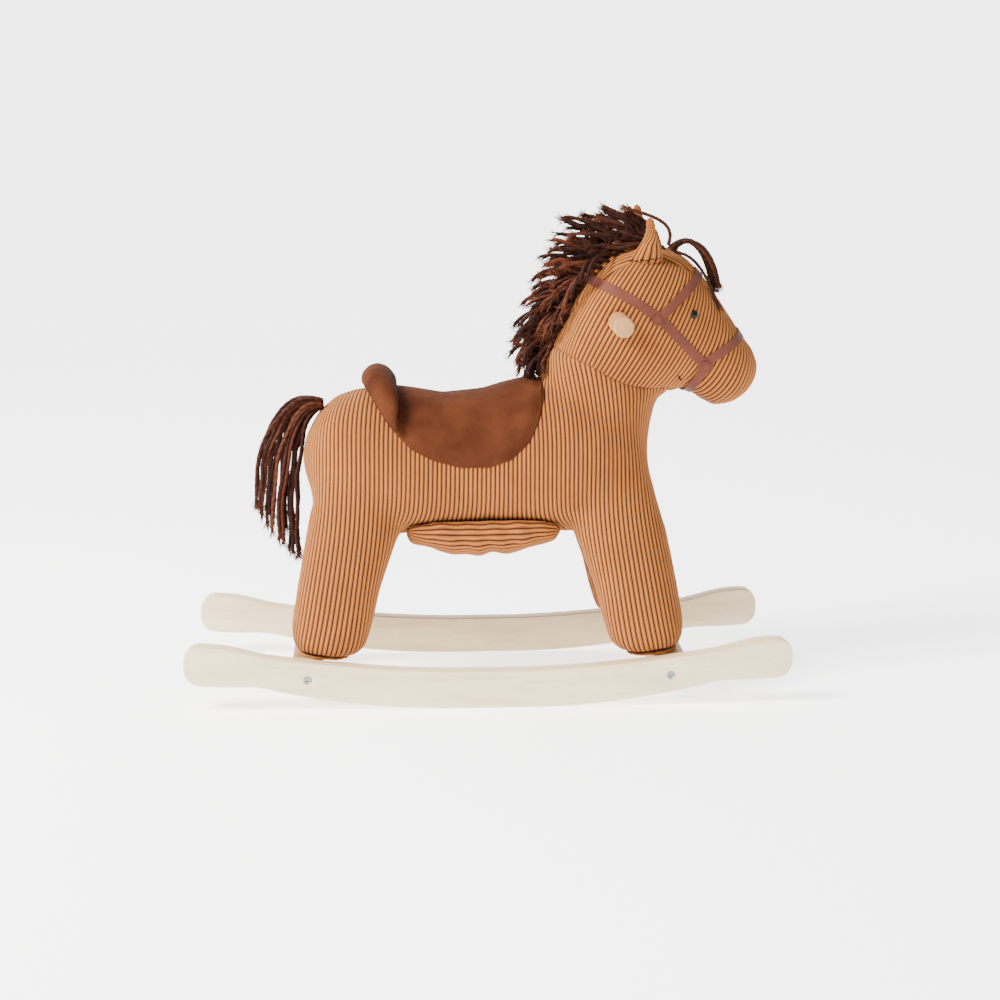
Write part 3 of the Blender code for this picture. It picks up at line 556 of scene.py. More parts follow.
# %% [markdown]
# ### Ribs from geometry
# The wales have to lie along the cloth's grain, lean with the legs and meet at an angle where two
# panels are sewn together. So every point of a panel gets a rib number: it grows by one from one wale
# to the next, across the grain. The numbers come from a least-squares fit over the panel's edges. The
# faces are then sliced where the number passes a wale's valley, flanks and back, and the new points are
# raised or lowered, which makes crisp wales with few faces.

# %% Rib numbers over a panel
RIB_PITCH = 0.0054
RIB_RISE = 0.00115
RIB_LEVELS = (0.0, 0.17, 0.50, 0.83)
SEAM_PINCH = 0.0016


def unit(rows):
    return rows / np.maximum(np.linalg.norm(rows, axis=1, keepdims=True), 1e-12)


def rib_numbers(points, edges, normals, grain, pins=None, rounds=900):
    """The rib number of each point: grain gives the direction that the wales run in there."""
    run = grain(points)
    run = run - (run * normals).sum(1, keepdims=True) * normals
    strength = np.clip(np.linalg.norm(run, axis=1), 0.01, 1.0)
    across = unit(np.cross(run, normals))
    a, b = edges.T
    weight = np.minimum(strength[a], strength[b])
    step = ((points[b] - points[a]) * (across[a] + across[b]) / 2).sum(1) / RIB_PITCH
    count = len(points)

    def spread(values):
        flow = weight * (values[a] - values[b])
        return np.bincount(a, flow, count) - np.bincount(b, flow, count)

    free = np.ones(count) if pins is None else (~pins).astype(float)
    push = np.bincount(b, weight * step, count) - np.bincount(a, weight * step, count)
    scale = np.bincount(a, weight, count) + np.bincount(b, weight, count) + 1e-9
    found = points @ across.mean(0) / RIB_PITCH * free
    rest = (push - spread(found)) * free
    way = rest / scale
    size = (rest * way).sum()
    for _ in range(rounds):
        image = spread(way) * free
        share = size / max((way * image).sum(), 1e-20)
        found += share * way
        rest -= share * image
        eased = rest / scale
        new_size = (rest * eased).sum()
        if new_size < 1e-10 * count:
            break
        way = eased + way * (new_size / size)
        size = new_size
    return found


# %% [markdown]
# Cutting a face along a level needs the same new point on both faces that share an edge, or the cloth
# would tear. So a cloth keeps its cut points by edge, and a face picks up the cuts of its neighbours.

# %% Slice faces along levels
class Cloth:
    """Points, faces and panels of one half of a cover. Faces are lists of point numbers."""

    def __init__(self, points, faces):
        self.points = [tuple(p) for p in points]
        self.faces = [list(f) for f in faces]
        self.panel = [0] * len(self.faces)
        self.middle = {}

    def split(self, a, b, share):
        """The point that cuts edge a-b, made once for both of its faces."""
        key = (a, b) if a < b else (b, a)
        if key not in self.middle:
            p, q = self.points[a], self.points[b]
            self.points.append(tuple(u + (v - u) * share for u, v in zip(p, q)))
            self.middle[key] = len(self.points) - 1
        return self.middle[key]

    def with_cuts(self, face):
        """The face with the cuts that its neighbours made in its edges."""
        done = []
        pending = [(a, b) for a, b in zip(face, face[1:] + face[:1])][::-1]
        while pending:
            a, b = pending.pop()
            key = (a, b) if a < b else (b, a)
            if key in self.middle:
                pending.append((self.middle[key], b))
                pending.append((a, self.middle[key]))
            else:
                done.append(a)
        return done

    def cut(self, face, number, level):
        """Splits a face where number passes level: (lower part, upper part), either may be None."""
        sides = [number[v] - level for v in face]
        if max(sides) <= 1e-7:
            return face, None
        if min(sides) >= -1e-7:
            return None, face
        low, high = [], []
        for k, v in enumerate(face):
            w = face[(k + 1) % len(face)]
            s, t = sides[k], sides[(k + 1) % len(face)]
            if abs(s) <= 1e-7:
                low.append(v)
                high.append(v)
            else:
                (low if s < 0 else high).append(v)
            if (s < -1e-7 and t > 1e-7) or (s > 1e-7 and t < -1e-7):
                share = s / (s - t)
                m = self.split(v, w, share)
                if m not in number:
                    number[m] = level
                low.append(m)
                high.append(m)
        return (low if len(low) > 2 else None), (high if len(high) > 2 else None)


def arrays(piece):
    mesh = piece.data
    points = np.empty(len(mesh.vertices) * 3, np.float32)
    mesh.vertices.foreach_get("co", points)
    return points.reshape(-1, 3).astype(float), [list(p.vertices) for p in mesh.polygons]


def point_normals(points, faces):
    found = np.zeros_like(points)
    for size in sorted({len(f) for f in faces}):
        same = np.array([f for f in faces if len(f) == size])
        corner = points[same]
        centre = corner.mean(1)
        normal = np.zeros_like(centre)
        for k in range(size):
            normal += np.cross(corner[:, k] - centre, corner[:, (k + 1) % size] - centre)
        for k in range(size):
            np.add.at(found, same[:, k], normal)
    return unit(found)


def edge_list(faces):
    count = {}
    for face in faces:
        for a, b in zip(face, face[1:] + face[:1]):
            key = (a, b) if a < b else (b, a)
            count[key] = count.get(key, 0) + 1
    return count


print("rib pitch", RIB_PITCH)

# %% [markdown]
# A panel's border is cut where some measure passes zero, such as the height over the neck seam. Then
# each panel is sliced along its own wales, and the cloth is pinched in along the seams.

# %% Cut panels and raise their wales
def crossing(cloth, measure, chosen, inside, outside):
    """Parts the faces of one panel where measure(points, normals) passes zero."""
    points = np.array(cloth.points)
    number = dict(enumerate(measure(points, point_normals(points, cloth.faces))))
    faces, panels = [], []
    for face, panel in zip(cloth.faces, cloth.panel):
        if panel != chosen:
            faces.append(face)
            panels.append(panel)
            continue
        low, high = cloth.cut(face, number, 0.0)
        for part, name in ((low, inside), (high, outside)):
            if part:
                faces.append(part)
                panels.append(name)
    cloth.faces = [cloth.with_cuts(face) for face in faces]
    cloth.panel = panels


def ease(value, start, end):
    share = np.clip((value - start) / (end - start), 0.0, 1.0)
    return share * share * (3 - 2 * share)


def seam_samples(points, pairs, spacing=0.001):
    found = []
    for a, b in pairs:
        p, q = points[a], points[b]
        steps = max(1, int(np.linalg.norm(q - p) / spacing))
        found.extend(p + (q - p) * k / steps for k in range(steps + 1))
    tree = KDTree(len(found))
    for k, p in enumerate(found):
        tree.insert(p, k)
    tree.balance()
    return tree


def on_middle(points, pair):
    return abs(points[pair[0]][1]) < 1e-6 and abs(points[pair[1]][1]) < 1e-6


def raise_wales(cloth, grains, unsewn=(), rise=RIB_RISE, pinch=SEAM_PINCH, pin_below=False):
    """Slices every panel along its wales. Returns new points, faces, panels and each corner's UV pair.

    A panel that runs over the middle unsewn has rib number 0 there; with pin_below, only underneath.
    """
    flat = np.array(cloth.points)
    normals = point_normals(flat, cloth.faces)
    middle = np.abs(flat[:, 1]) < 1e-6
    if middle.any():
        normals[middle, 1] = 0.0
        normals = unit(normals)
    numbers, seams = {}, {}
    for panel, grain in grains.items():
        members = [f for f, p in zip(cloth.faces, cloth.panel) if p == panel]
        counted = edge_list(members)
        used = np.array(sorted({v for f in members for v in f}))
        place = {int(v): k for k, v in enumerate(used)}
        edges = np.array([(place[a], place[b]) for a, b in counted])
        pins = middle[used] if panel in unsewn else None
        if pins is not None and pin_below:
            pins = pins & (normals[used][:, 2] < 0)
        found = rib_numbers(flat[used], edges, normals[used], lambda p, n=normals[used]: grain(p, n), pins)
        numbers[panel] = {int(v): float(found[k]) for k, v in enumerate(used)}
        border = [pair for pair, times in counted.items() if times == 1]
        if panel in unsewn:
            border = [pair for pair in border if not on_middle(flat, pair)]
        seams[panel] = seam_samples(flat, border) if border else None
    for panel in grains:
        number = numbers[panel]
        faces, panels = [], []
        for face, own in zip(cloth.faces, cloth.panel):
            if own != panel:
                faces.append(face)
                panels.append(own)
                continue
            face = cloth.with_cuts(face)
            for k, v in enumerate(face):
                if v not in number:
                    number[v] = missing_number(cloth, number, face, k)
            low = min(number[v] for v in face)
            high = max(number[v] for v in face)
            rest = face
            for whole in range(math.floor(low), math.floor(high) + 1):
                for level in RIB_LEVELS:
                    if rest and low < whole + level < high:
                        done, rest = cloth.cut(rest, number, whole + level)
                        if done:
                            faces.append(done)
                            panels.append(panel)
            if rest:
                faces.append(rest)
                panels.append(panel)
        cloth.faces, cloth.panel = faces, panels
    cloth.faces = [cloth.with_cuts(face) for face in cloth.faces]
    points = np.array(cloth.points)
    normals = point_normals(points, cloth.faces)
    middle = np.abs(points[:, 1]) < 1e-6
    if middle.any():
        normals[middle, 1] = 0.0
        normals = unit(normals)
    lift = np.zeros(len(points))
    shared = np.zeros(len(points))
    corners = []
    away = {}
    for face, panel in zip(cloth.faces, cloth.panel):
        number = numbers[panel]
        pairs = []
        for k, v in enumerate(face):
            if v not in number:
                number[v] = missing_number(cloth, number, face, k)
            key = (panel, v)
            if key not in away:
                away[key] = seams[panel].find(points[v])[2] if seams[panel] else 0.05
                share = number[v] - math.floor(number[v])
                crown = 1.0 - abs(2 * share - 1) ** 3.2
                fade = 0.12 + 0.88 * float(ease(away[key], 0.0004, 0.0035))
                lift[v] += (crown - 0.45) * rise * fade - pinch * math.exp(-(away[key] / 0.0032) ** 2)
                shared[v] += 1
            pairs.append((number[v], away[key]))
        corners.append(pairs)
    lift /= np.maximum(shared, 1)
    raised = points + normals * lift[:, None]
    if middle.any():
        raised[middle, 1] = 0.0
    return raised, cloth.faces, cloth.panel, corners


def missing_number(cloth, number, face, k):
    """A neighbour's cut lies between two of this panel's points: its number lies between theirs."""
    here = np.array(cloth.points[face[k]])
    ends = []
    for step in (-1, 1):
        j = k
        while True:
            j = (j + step) % len(face)
            if face[j] in number:
                break
        ends.append(face[j])
    gaps = [np.linalg.norm(here - np.array(cloth.points[e])) for e in ends]
    total = sum(gaps) or 1.0
    return (number[ends[0]] * gaps[1] + number[ends[1]] * gaps[0]) / total


def make_piece(name, points, faces, corners, mirrored, cap=False):
    """A mesh object from these faces, mirrored over the middle if asked, with its rib UV map."""
    used = sorted({v for f in faces for v in f})
    place = {v: k for k, v in enumerate(used)}
    coords = [tuple(points[v]) for v in used]
    polygons = [[place[v] for v in f] for f in faces]
    pairs = [list(p) for p in corners]
    if mirrored:
        other = {}
        for k, p in enumerate(list(coords)):
            if abs(p[1]) < 1e-7:
                other[k] = k
            else:
                other[k] = len(coords)
                coords.append((p[0], -p[1], p[2]))
        count = len(polygons)
        for f in range(count):
            polygons.append([other[v] for v in polygons[f]][::-1])
            pairs.append(pairs[f][::-1])
    if cap:
        once = {}
        for f in polygons:
            for a, b in zip(f, f[1:] + f[:1]):
                if (b, a) in once:
                    del once[(b, a)]
                else:
                    once[(a, b)] = True
        if once:
            loop = np.array([coords[a] for a, b in once])
            coords.append(tuple(loop.mean(0)))
            for a, b in once:
                polygons.append([b, a, len(coords) - 1])
                pairs.append([(0.0, 0.0)] * 3)
    mesh = bpy.data.meshes.new(name)
    mesh.from_pydata(coords, [], polygons)
    layer = mesh.uv_layers.new(name="ribs")
    layer.data.foreach_set("uv", [float(c) for face in pairs for pair in face for c in pair])
    mesh.shade_smooth()
    mesh.validate()
    made = bpy.data.objects.new(name, mesh)
    bpy.context.scene.collection.objects.link(made)
    print(name, len(mesh.vertices), "points,", len(mesh.polygons), "faces")
    return made


# %% [markdown]
# Only the right half is worked on, and mirrored at the end. Its panels are the body with the outer
# legs, the head, the gusset over the head's middle, and the inner legs.

# %% Halve the skin and mark its panels
def halve(piece):
    """Keeps the right half, and puts its cut edge exactly on the middle."""
    bm = bmesh.new()
    bm.from_mesh(piece.data)
    every = list(bm.verts) + list(bm.edges) + list(bm.faces)
    bmesh.ops.bisect_plane(bm, geom=every, dist=0.0004, plane_co=(0, 0, 0), plane_no=(0, 1, 0),
                           clear_outer=True)
    for vert in bm.verts:
        if abs(vert.co.y) < 0.0005:
            vert.co.y = 0.0
    bm.to_mesh(piece.data)
    bm.free()


skin_points, skin_faces = arrays(skin)


def relax(points, faces, weight, rounds, factor=0.5):
    """Moves each point towards the middle of its neighbours, as far as its weight allows."""
    pairs = np.array(list(edge_list(faces)))
    a, b = pairs.T
    count = np.bincount(a, minlength=len(points)) + np.bincount(b, minlength=len(points))
    for _ in range(rounds):
        total = np.column_stack([
            np.bincount(a, points[b, k], len(points)) + np.bincount(b, points[a, k], len(points))
            for k in range(3)])
        points = points + (total / count[:, None] - points) * (factor * weight)[:, None]
    return points


# The cloth bridges the hollow where a leg meets the body, so chest and rump run on in one line.
skin_height = skin_points[:, 2]
hollow = ease(skin_height, 0.200, 0.240) * (1 - ease(skin_height, 0.300, 0.340))
hollow = hollow * ease(np.abs(skin_points[:, 0]), 0.120, 0.165)
skin_points = relax(skin_points, skin_faces, hollow, 60)
skin.data.vertices.foreach_set("co", skin_points.astype(np.float32).ravel())
skin.data.update()
skin_tree = BVHTree.FromPolygons([Vector(p) for p in skin_points], skin_faces)
halve(skin)
half_points, half_faces = arrays(skin)
cover = Cloth(half_points, half_faces)
BODY, HEAD, GUSSET, INNER_LEGS = range(4)


NECK_SEAM = ((0.060, 0.4320), (0.0968, 0.4156), (0.1237, 0.4034), (0.1476, 0.3891), (0.1718, 0.3792),
             (0.2038, 0.3723), (0.2220, 0.3725), (0.2340, 0.3400))


def off_head(points, normals):
    """Height of the neck seam over each point, as the seam is seen from the side."""
    table = np.array(NECK_SEAM)
    return np.interp(points[:, 0], table[:, 0], table[:, 1]) - points[:, 2]


HEAD_CENTRE = (0.170, 0.450)
GUSSET_HALF = ((-24, -0.012), (-12, 0.014), (20, 0.028), (46, 0.042), (80, 0.050), (120, 0.053),
               (155, 0.036), (188, 0.012), (200, -0.012))


def off_gusset(points, normals):
    turn = np.degrees(np.arctan2(points[:, 2] - HEAD_CENTRE[1], points[:, 0] - HEAD_CENTRE[0]))
    turn = np.where(turn < -90, turn + 360, turn)
    table = np.array(GUSSET_HALF)
    return np.abs(points[:, 1]) - np.interp(turn, table[:, 0], table[:, 1], left=-0.02, right=-0.02)


LEG_TOP = 0.226
FOOT_MIDDLE = 0.0905
TOP_MIDDLE = 0.0550


def off_inner_leg(points, normals):
    height = points[:, 2]
    middle = FOOT_MIDDLE + (TOP_MIDDLE - FOOT_MIDDLE) * ease(height, 0.06, 0.24)
    inward = np.abs(points[:, 1]) - (middle - 0.008)
    return np.maximum(inward, height - LEG_TOP)


crossing(cover, off_head, BODY, HEAD, BODY)
crossing(cover, off_gusset, HEAD, GUSSET, HEAD)
crossing(cover, off_inner_leg, BODY, INNER_LEGS, BODY)
print("panels", {p: cover.panel.count(p) for p in range(4)})


# %% [markdown]
# The grain says which way the wales run: down the body and legs, slanting up the head, and along the
# middle gusset round the head.

# %% The grain of each panel
def body_grain(points, normals):
    x, height = points[:, 0], points[:, 2]
    lean = np.sign(x) * 0.25 * (1 - ease(height, 0.16, 0.30)) * ease(np.abs(x), 0.04, 0.13)
    lean += 0.14 * ease(height, 0.28, 0.42) * (x > 0)
    out = -1.5 * np.clip(normals[:, 2], 0, 1)
    return np.column_stack([lean, out, -np.ones(len(points))])


def inner_grain(points, normals):
    lean = np.sign(points[:, 0]) * 0.25
    return np.column_stack([lean, np.zeros(len(points)), -np.ones(len(points))])


def head_grain(points, normals):
    steep = np.radians(61 + 8 * ease(points[:, 0], 0.24, 0.33))
    return np.column_stack([np.cos(steep), -0.3 * np.clip(-normals[:, 2], 0, 1), np.sin(steep)])


def gusset_grain(points, normals):
    turn = np.arctan2(points[:, 2] - HEAD_CENTRE[1], points[:, 0] - HEAD_CENTRE[0])
    return np.column_stack([-np.sin(turn), np.zeros(len(points)), np.cos(turn)])


cover_points, cover_faces, cover_panels, cover_corners = raise_wales(
    cover, {BODY: body_grain, HEAD: head_grain, GUSSET: gusset_grain, INNER_LEGS: inner_grain},
    unsewn=(GUSSET,))


def chosen_faces(panels):
    keep = [k for k, p in enumerate(cover_panels) if p in panels]
    return [cover_faces[k] for k in keep], [cover_corners[k] for k in keep]


body_cover = make_piece("body_cover", cover_points, *chosen_faces((BODY, INNER_LEGS)), True, cap=True)
head_cover = make_piece("head_cover", cover_points, *chosen_faces((HEAD, GUSSET)), True, cap=True)
for piece, fill in ((body_cover, 0.9), (head_cover, 0.9)):
    piece.data.materials.append(cover_cloth)
    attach(piece, "horse")
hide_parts("body_plush", *LEGS)
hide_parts("head_plush")
bpy.data.objects.remove(skin)

# %% [markdown]
# ## The belly
# A long gusset closes the cover underneath. Its cloth is cut lengthwise and a little too long, so it
# sags between the legs and its lower edge waves.

# %% Belly gusset
def ribbed(name, piece, grain, half=True, **dressing):
    """Dresses a whole closed mesh, or its mirrored right half, as one panel."""
    if half:
        halve(piece)
    cloth = Cloth(*arrays(piece))
    points, faces, _, corners = raise_wales(cloth, {0: grain}, unsewn=(0,), **dressing)
    bpy.data.objects.remove(piece)
    return make_piece(name, points, faces, corners, half)


def along_horse(points, normals):
    side_on = (1 - normals[:, 0] ** 2) ** 4
    return np.column_stack([side_on, np.zeros(len(points)), np.zeros(len(points))])


def across_horse(points, normals):
    return np.column_stack([np.zeros(len(points)), np.ones(len(points)), np.zeros(len(points))])


def shape(piece, move):
    """Moves each point of a mesh by what move(points) gives."""
    points, _ = arrays(piece)
    points = points + move(points)
    piece.data.vertices.foreach_set("co", points.astype(np.float32).ravel())
    piece.data.update()


gusset = solids("gusset", ["belly_gusset"])
remesh(gusset, 0.0035)
even_out(gusset, 0.5, 3)
stuff(gusset, slim=0.001, cap=0.002)
gusset_low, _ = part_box("belly_gusset")


def sag(points):
    x, y, z = points.T
    low = 1 - ease(z, gusset_low.z + 0.004, gusset_low.z + 0.035)
    wave = np.sin(x * 165 + 0.8 * np.sin(x * 61)) * 0.0014 + np.sin(x * 97 + 1.3) * 0.0010
    side = np.sin(x * 210 + z * 90) * 0.0010 * ease(np.abs(y), 0.04, 0.085)
    return np.column_stack([x * 0, np.sign(y) * side, wave * low])


shape(gusset, sag)
belly = ribbed("belly_gusset_cover", gusset, along_horse, pin_below=True)
belly.data.materials.append(cover_cloth)
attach(belly, "horse")
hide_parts("belly_gusset")

# %% [markdown]
# Each foot ends in a small disc of the same cloth, laid on the runner. The disc's finish is a lighter
# copy of the cloth, painted light that lifts the deep shade under the foot, and the disc has low wales
# that run across the horse.

# %% Soles
for end in ("front", "rear"):
    for side in ("right", "left"):
        node = f"hoof_sole_{end}_{side}"
        disc = solids("disc", [node])
        remesh(disc, 0.0016)
        even_out(disc, 0.5, 2)
        sole = ribbed(f"sole_{end}_{side}", disc, across_horse, half=False, rise=0.0005)
        sole.data.materials.append(sole_cloth_painted_light)
        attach(sole, "horse")
        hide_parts(node)

# %% [markdown]
# ## The saddle
# The saddle is a panel of suede cloth over a thin pad, let into the back and sewn down all round. It is
# built on the skin: lines run down from the spine to the saddle's edge, and every point is lifted off
# the skin by the pad's thickness, which fades to nothing at the seam.

# %% Lift a pad off the skin
SADDLE_EDGE = ((-0.1450, 0.3720), (-0.1400, 0.3635), (-0.1170, 0.3326), (-0.0930, 0.3083), (-0.0660, 0.2945),
               (-0.0330, 0.2858), (0.0020, 0.2856), (0.0280, 0.2945), (0.0500, 0.3154), (0.0625, 0.3400),
               (0.0685, 0.3600), (0.0705, 0.3740))
PAD = 0.0050
PAD_FADE = 0.016
PAD_SEAM = 0.0012
BARREL_MIDDLE = 0.285


def surface(start, towards):
    """Where a line from start towards a point meets the skin: (place, normal)."""
    way = (Vector(towards) - Vector(start)).normalized()
    place, normal, _, _ = skin_tree.ray_cast(Vector(start), way)
    return place, normal


def down_line(x, edge, count):
    """Evenly spaced points on the skin from the spine down to height edge, at one x."""
    found = []
    for k in range(60):
        turn = math.pi / 2 * (1 - k / 48)
        start = (x, -0.3 * math.cos(turn), BARREL_MIDDLE + 0.3 * math.sin(turn))
        place, normal = surface(start, (x, 0, BARREL_MIDDLE))
        if place is None:
            break
        found.append((place, normal))
        if place.z < edge and k:
            break
    lengths = [0.0]
    for (a, _), (b, _) in zip(found, found[1:]):
        lengths.append(lengths[-1] + (b - a).length)
    last = len(found) - 1
    drop = found[last - 1][0].z - found[last][0].z
    share = (found[last - 1][0].z - edge) / drop if drop > 1e-9 else 1.0
    total = lengths[last - 1] + (lengths[last] - lengths[last - 1]) * min(max(share, 0.0), 1.0)
    rows = []
    for k in range(count):
        want = total * k / (count - 1)
        j = min(max(1, int(np.searchsorted(lengths, want))), last)
        t = (want - lengths[j - 1]) / max(lengths[j] - lengths[j - 1], 1e-9)
        rows.append((found[j - 1][0].lerp(found[j][0], t), found[j - 1][1].lerp(found[j][1], t).normalized(),
                     total - want))
    return rows


def saddle_mesh():
    edge = np.array(SADDLE_EDGE)
    columns = np.linspace(edge[0, 0] + 0.001, edge[-1, 0], 72)
    lines = [down_line(x, float(np.interp(x, edge[:, 0], edge[:, 1])), 34) for x in columns]
    rim = [line[-1][0] for line in lines] + [row[0] for row in lines[-1]] + [row[0] for row in lines[0]]
    tree = KDTree(len(rim))
    for k, p in enumerate(rim):
        tree.insert(p, k)
    tree.balance()
    bm = bmesh.new()
    sheets = []
    for under in (False, True):
        sheet = []
        for line in lines:
            right = []
            for place, normal, _ in line:
                away = tree.find(place)[2]
                lift = PAD_SEAM + PAD * float(ease(away, 0.0, PAD_FADE)) ** 0.8
                right.append(place + normal * (-0.0004 if under else lift))
            left = [Vector((p.x, -p.y, p.z)) for p in right[1:]]
            right[0].y = 0.0
            sheet.append([bm.verts.new(p) for p in right[::-1] + left])
        sheets.append(sheet)
    top, bottom = sheets
    wide = len(top[0])
    for i in range(len(top) - 1):
        for j in range(wide - 1):
            bm.faces.new((top[i][j], top[i + 1][j], top[i + 1][j + 1], top[i][j + 1]))
            bm.faces.new((bottom[i][j], bottom[i][j + 1], bottom[i + 1][j + 1], bottom[i + 1][j]))
        for j in (0, wide - 1):
            bm.faces.new((top[i][j], bottom[i][j], bottom[i + 1][j], top[i + 1][j]))
    for i in (0, len(top) - 1):
        for j in range(wide - 1):
            bm.faces.new((top[i][j], top[i][j + 1], bottom[i][j + 1], bottom[i][j]))
    bmesh.ops.recalc_face_normals(bm, faces=bm.faces)
    mesh = bpy.data.meshes.new("saddle_pad")
    bm.to_mesh(mesh)
    bm.free()
    mesh.shade_smooth()
    made = bpy.data.objects.new("saddle_pad", mesh)
    bpy.context.scene.collection.objects.link(made)
    return made


saddle = saddle_mesh()
saddle.data.materials.append(saddle_cloth)
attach(saddle, "horse")
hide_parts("saddle")
print("saddle", len(saddle.data.polygons), "faces")

# %% [markdown]
# The cantle is a roll stuffed hard, thick over the spine and running out to a point on each side. It is
# swelled like the skin, and one round of subdivision makes it smooth.

# %% Cantle
cantle = solids("saddle_cantle_roll", ["saddle_cantle"])
remesh(cantle, 0.0028)
even_out(cantle, 0.5, 4)
stuff(cantle, slim=0.0008, cap=0.0022)
shape(cantle, lambda points: np.column_stack([
    -0.012 * (1 - ease(points[:, 2], 0.332, 0.378)), points[:, 1] * 0, points[:, 2] * 0]))
grab(cantle)
smooth = cantle.modifiers.new("smooth", "SUBSURF")
smooth.levels = smooth.render_levels = 1
bpy.ops.object.modifier_apply(modifier="smooth")
bpy.ops.object.shade_smooth()
cantle.data.materials.append(saddle_cloth)
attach(cantle, "horse")
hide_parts("saddle_cantle")

# %% [markdown]
# ## The ears
# An ear is a triangle of corduroy rolled into a cone, with its wales running up to the point. The point
# is twisted, and the root is gathered and sewn to the head with dark thread.

# %% Ears
EAR_RIBS = 13
EAR_RINGS = 60
EAR_AROUND = EAR_RIBS * 8
EAR_SHAPE = ((0.00, 0.0180, 0.0095), (0.12, 0.0184, 0.0108), (0.28, 0.0152, 0.0104), (0.44, 0.0110, 0.0086),
             (0.58, 0.0076, 0.0066), (0.70, 0.0055, 0.0053), (0.82, 0.0046, 0.0045), (0.91, 0.0042, 0.0041),
             (0.97, 0.0030, 0.0030), (1.00, 0.0010, 0.0010))


def ear(name, root, tip, bend):
    root, tip = Vector(root), Vector(tip)
    table = np.array(EAR_SHAPE)
    coords, polygons, pairs = [], [], []
    for i in range(EAR_RINGS + 1):
        t = i / EAR_RINGS
        half_x = np.interp(t, table[:, 0], table[:, 1])
        half_y = np.interp(t, table[:, 0], table[:, 2])
        middle = root.lerp(tip, t) + Vector(bend) * math.sin(math.pi * t)
        twist = 3.2 * max(0.0, t - 0.42) ** 1.1
        band = 1.0 + 0.07 * math.sin(t * 62) * float(ease(t, 0.5, 0.7))
        for k in range(EAR_AROUND):
            turn = math.tau * k / EAR_AROUND
            share = (k * EAR_RIBS / EAR_AROUND) % 1.0
            crown = 1.0 - abs(2 * share - 1) ** 3.0
            rib = 1 + (crown - 0.5) * 0.0016 / max(half_x, 0.004)
            fold = math.exp(-((turn - 1.2 * math.pi) / 0.35) ** 2)
            fold = 1 - 0.20 * fold * (1 - float(ease(t, 0.4, 0.8)))
            reach = rib * fold * band
            coords.append((middle.x + half_x * reach * math.cos(turn + twist),
                           middle.y + half_y * reach * math.sin(turn + twist), middle.z))
    for i in range(EAR_RINGS):
        for k in range(EAR_AROUND):
            m = (k + 1) % EAR_AROUND
            a, b = i * EAR_AROUND, (i + 1) * EAR_AROUND
            polygons.append([a + k, a + m, b + m, b + k])
            u, v = k * EAR_RIBS / EAR_AROUND, (k + 1) * EAR_RIBS / EAR_AROUND
            pairs.append([(u, 0.05), (v, 0.05), (v, 0.05), (u, 0.05)])
    for ring, flip in ((0, True), (EAR_RINGS, False)):
        row = [ring * EAR_AROUND + k for k in range(EAR_AROUND)]
        polygons.append(row[::-1] if flip else row)
        pairs.append([(0.5, 0.05)] * EAR_AROUND)
    mesh = bpy.data.meshes.new(name)
    mesh.from_pydata(coords, [], polygons)
    layer = mesh.uv_layers.new(name="ribs")
    layer.data.foreach_set("uv", [float(c) for face in pairs for pair in face for c in pair])
    mesh.shade_smooth()
    made = bpy.data.objects.new(name, mesh)
    bpy.context.scene.collection.objects.link(made)
    made.data.materials.append(cover_cloth)
    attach(made, "horse")
    return made


ears = {}
for side, sign in (("right", -1), ("left", 1)):
    low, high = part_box(f"ear_{side}")
    top = high.z - 0.002
    lean = 0.1950 if side == "right" else 0.1930
    ears[side] = ear(f"ear_roll_{side}", (0.1915, sign * 0.046, 0.5240), (lean, sign * 0.0590, top),
                     (0.0036, sign * 0.0015, 0))
    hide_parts(f"ear_{side}")


# %% [markdown]
# A thread is a thin closed tube round a line of points. It makes the stitches here, and later the
# strands and loose fibres of the hair.

# %% A thread that follows points
def tube(bm, path, radius, sides=5, taper=1.0, tone=None, layer=None):
    """A closed tube of a few sides round a path of points."""
    rings = []
    path = [Vector(p) for p in path]
    side = None
    for i, p in enumerate(path):
        way = (path[min(i + 1, len(path) - 1)] - path[max(i - 1, 0)]).normalized()
        if side is None:
            side = way.cross((0.13, 0.31, 0.94)).normalized()
        side = (side - way * side.dot(way)).normalized()
        other = way.cross(side)
        size = radius * (1 + (taper - 1) * i / (len(path) - 1))
        ring = []
        for k in range(sides):
            turn = math.tau * k / sides
            vert = bm.verts.new(p + side * (size * math.cos(turn)) + other * (size * math.sin(turn)))
            if layer is not None:
                vert[layer] = tone
            ring.append(vert)
        rings.append(ring)
    for low, high in zip(rings, rings[1:]):
        for k in range(sides):
            m = (k + 1) % sides
            bm.faces.new((low[k], low[m], high[m], high[k]))
    bm.faces.new(rings[0][::-1])
    bm.faces.new(rings[-1])


def from_bmesh(name, bm, finish, body="horse"):
    mesh = bpy.data.meshes.new(name)
    bm.to_mesh(mesh)
    bm.free()
    mesh.shade_smooth()
    mesh.materials.append(finish)
    made = bpy.data.objects.new(name, mesh)
    bpy.context.scene.collection.objects.link(made)
    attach(made, body)
    return made


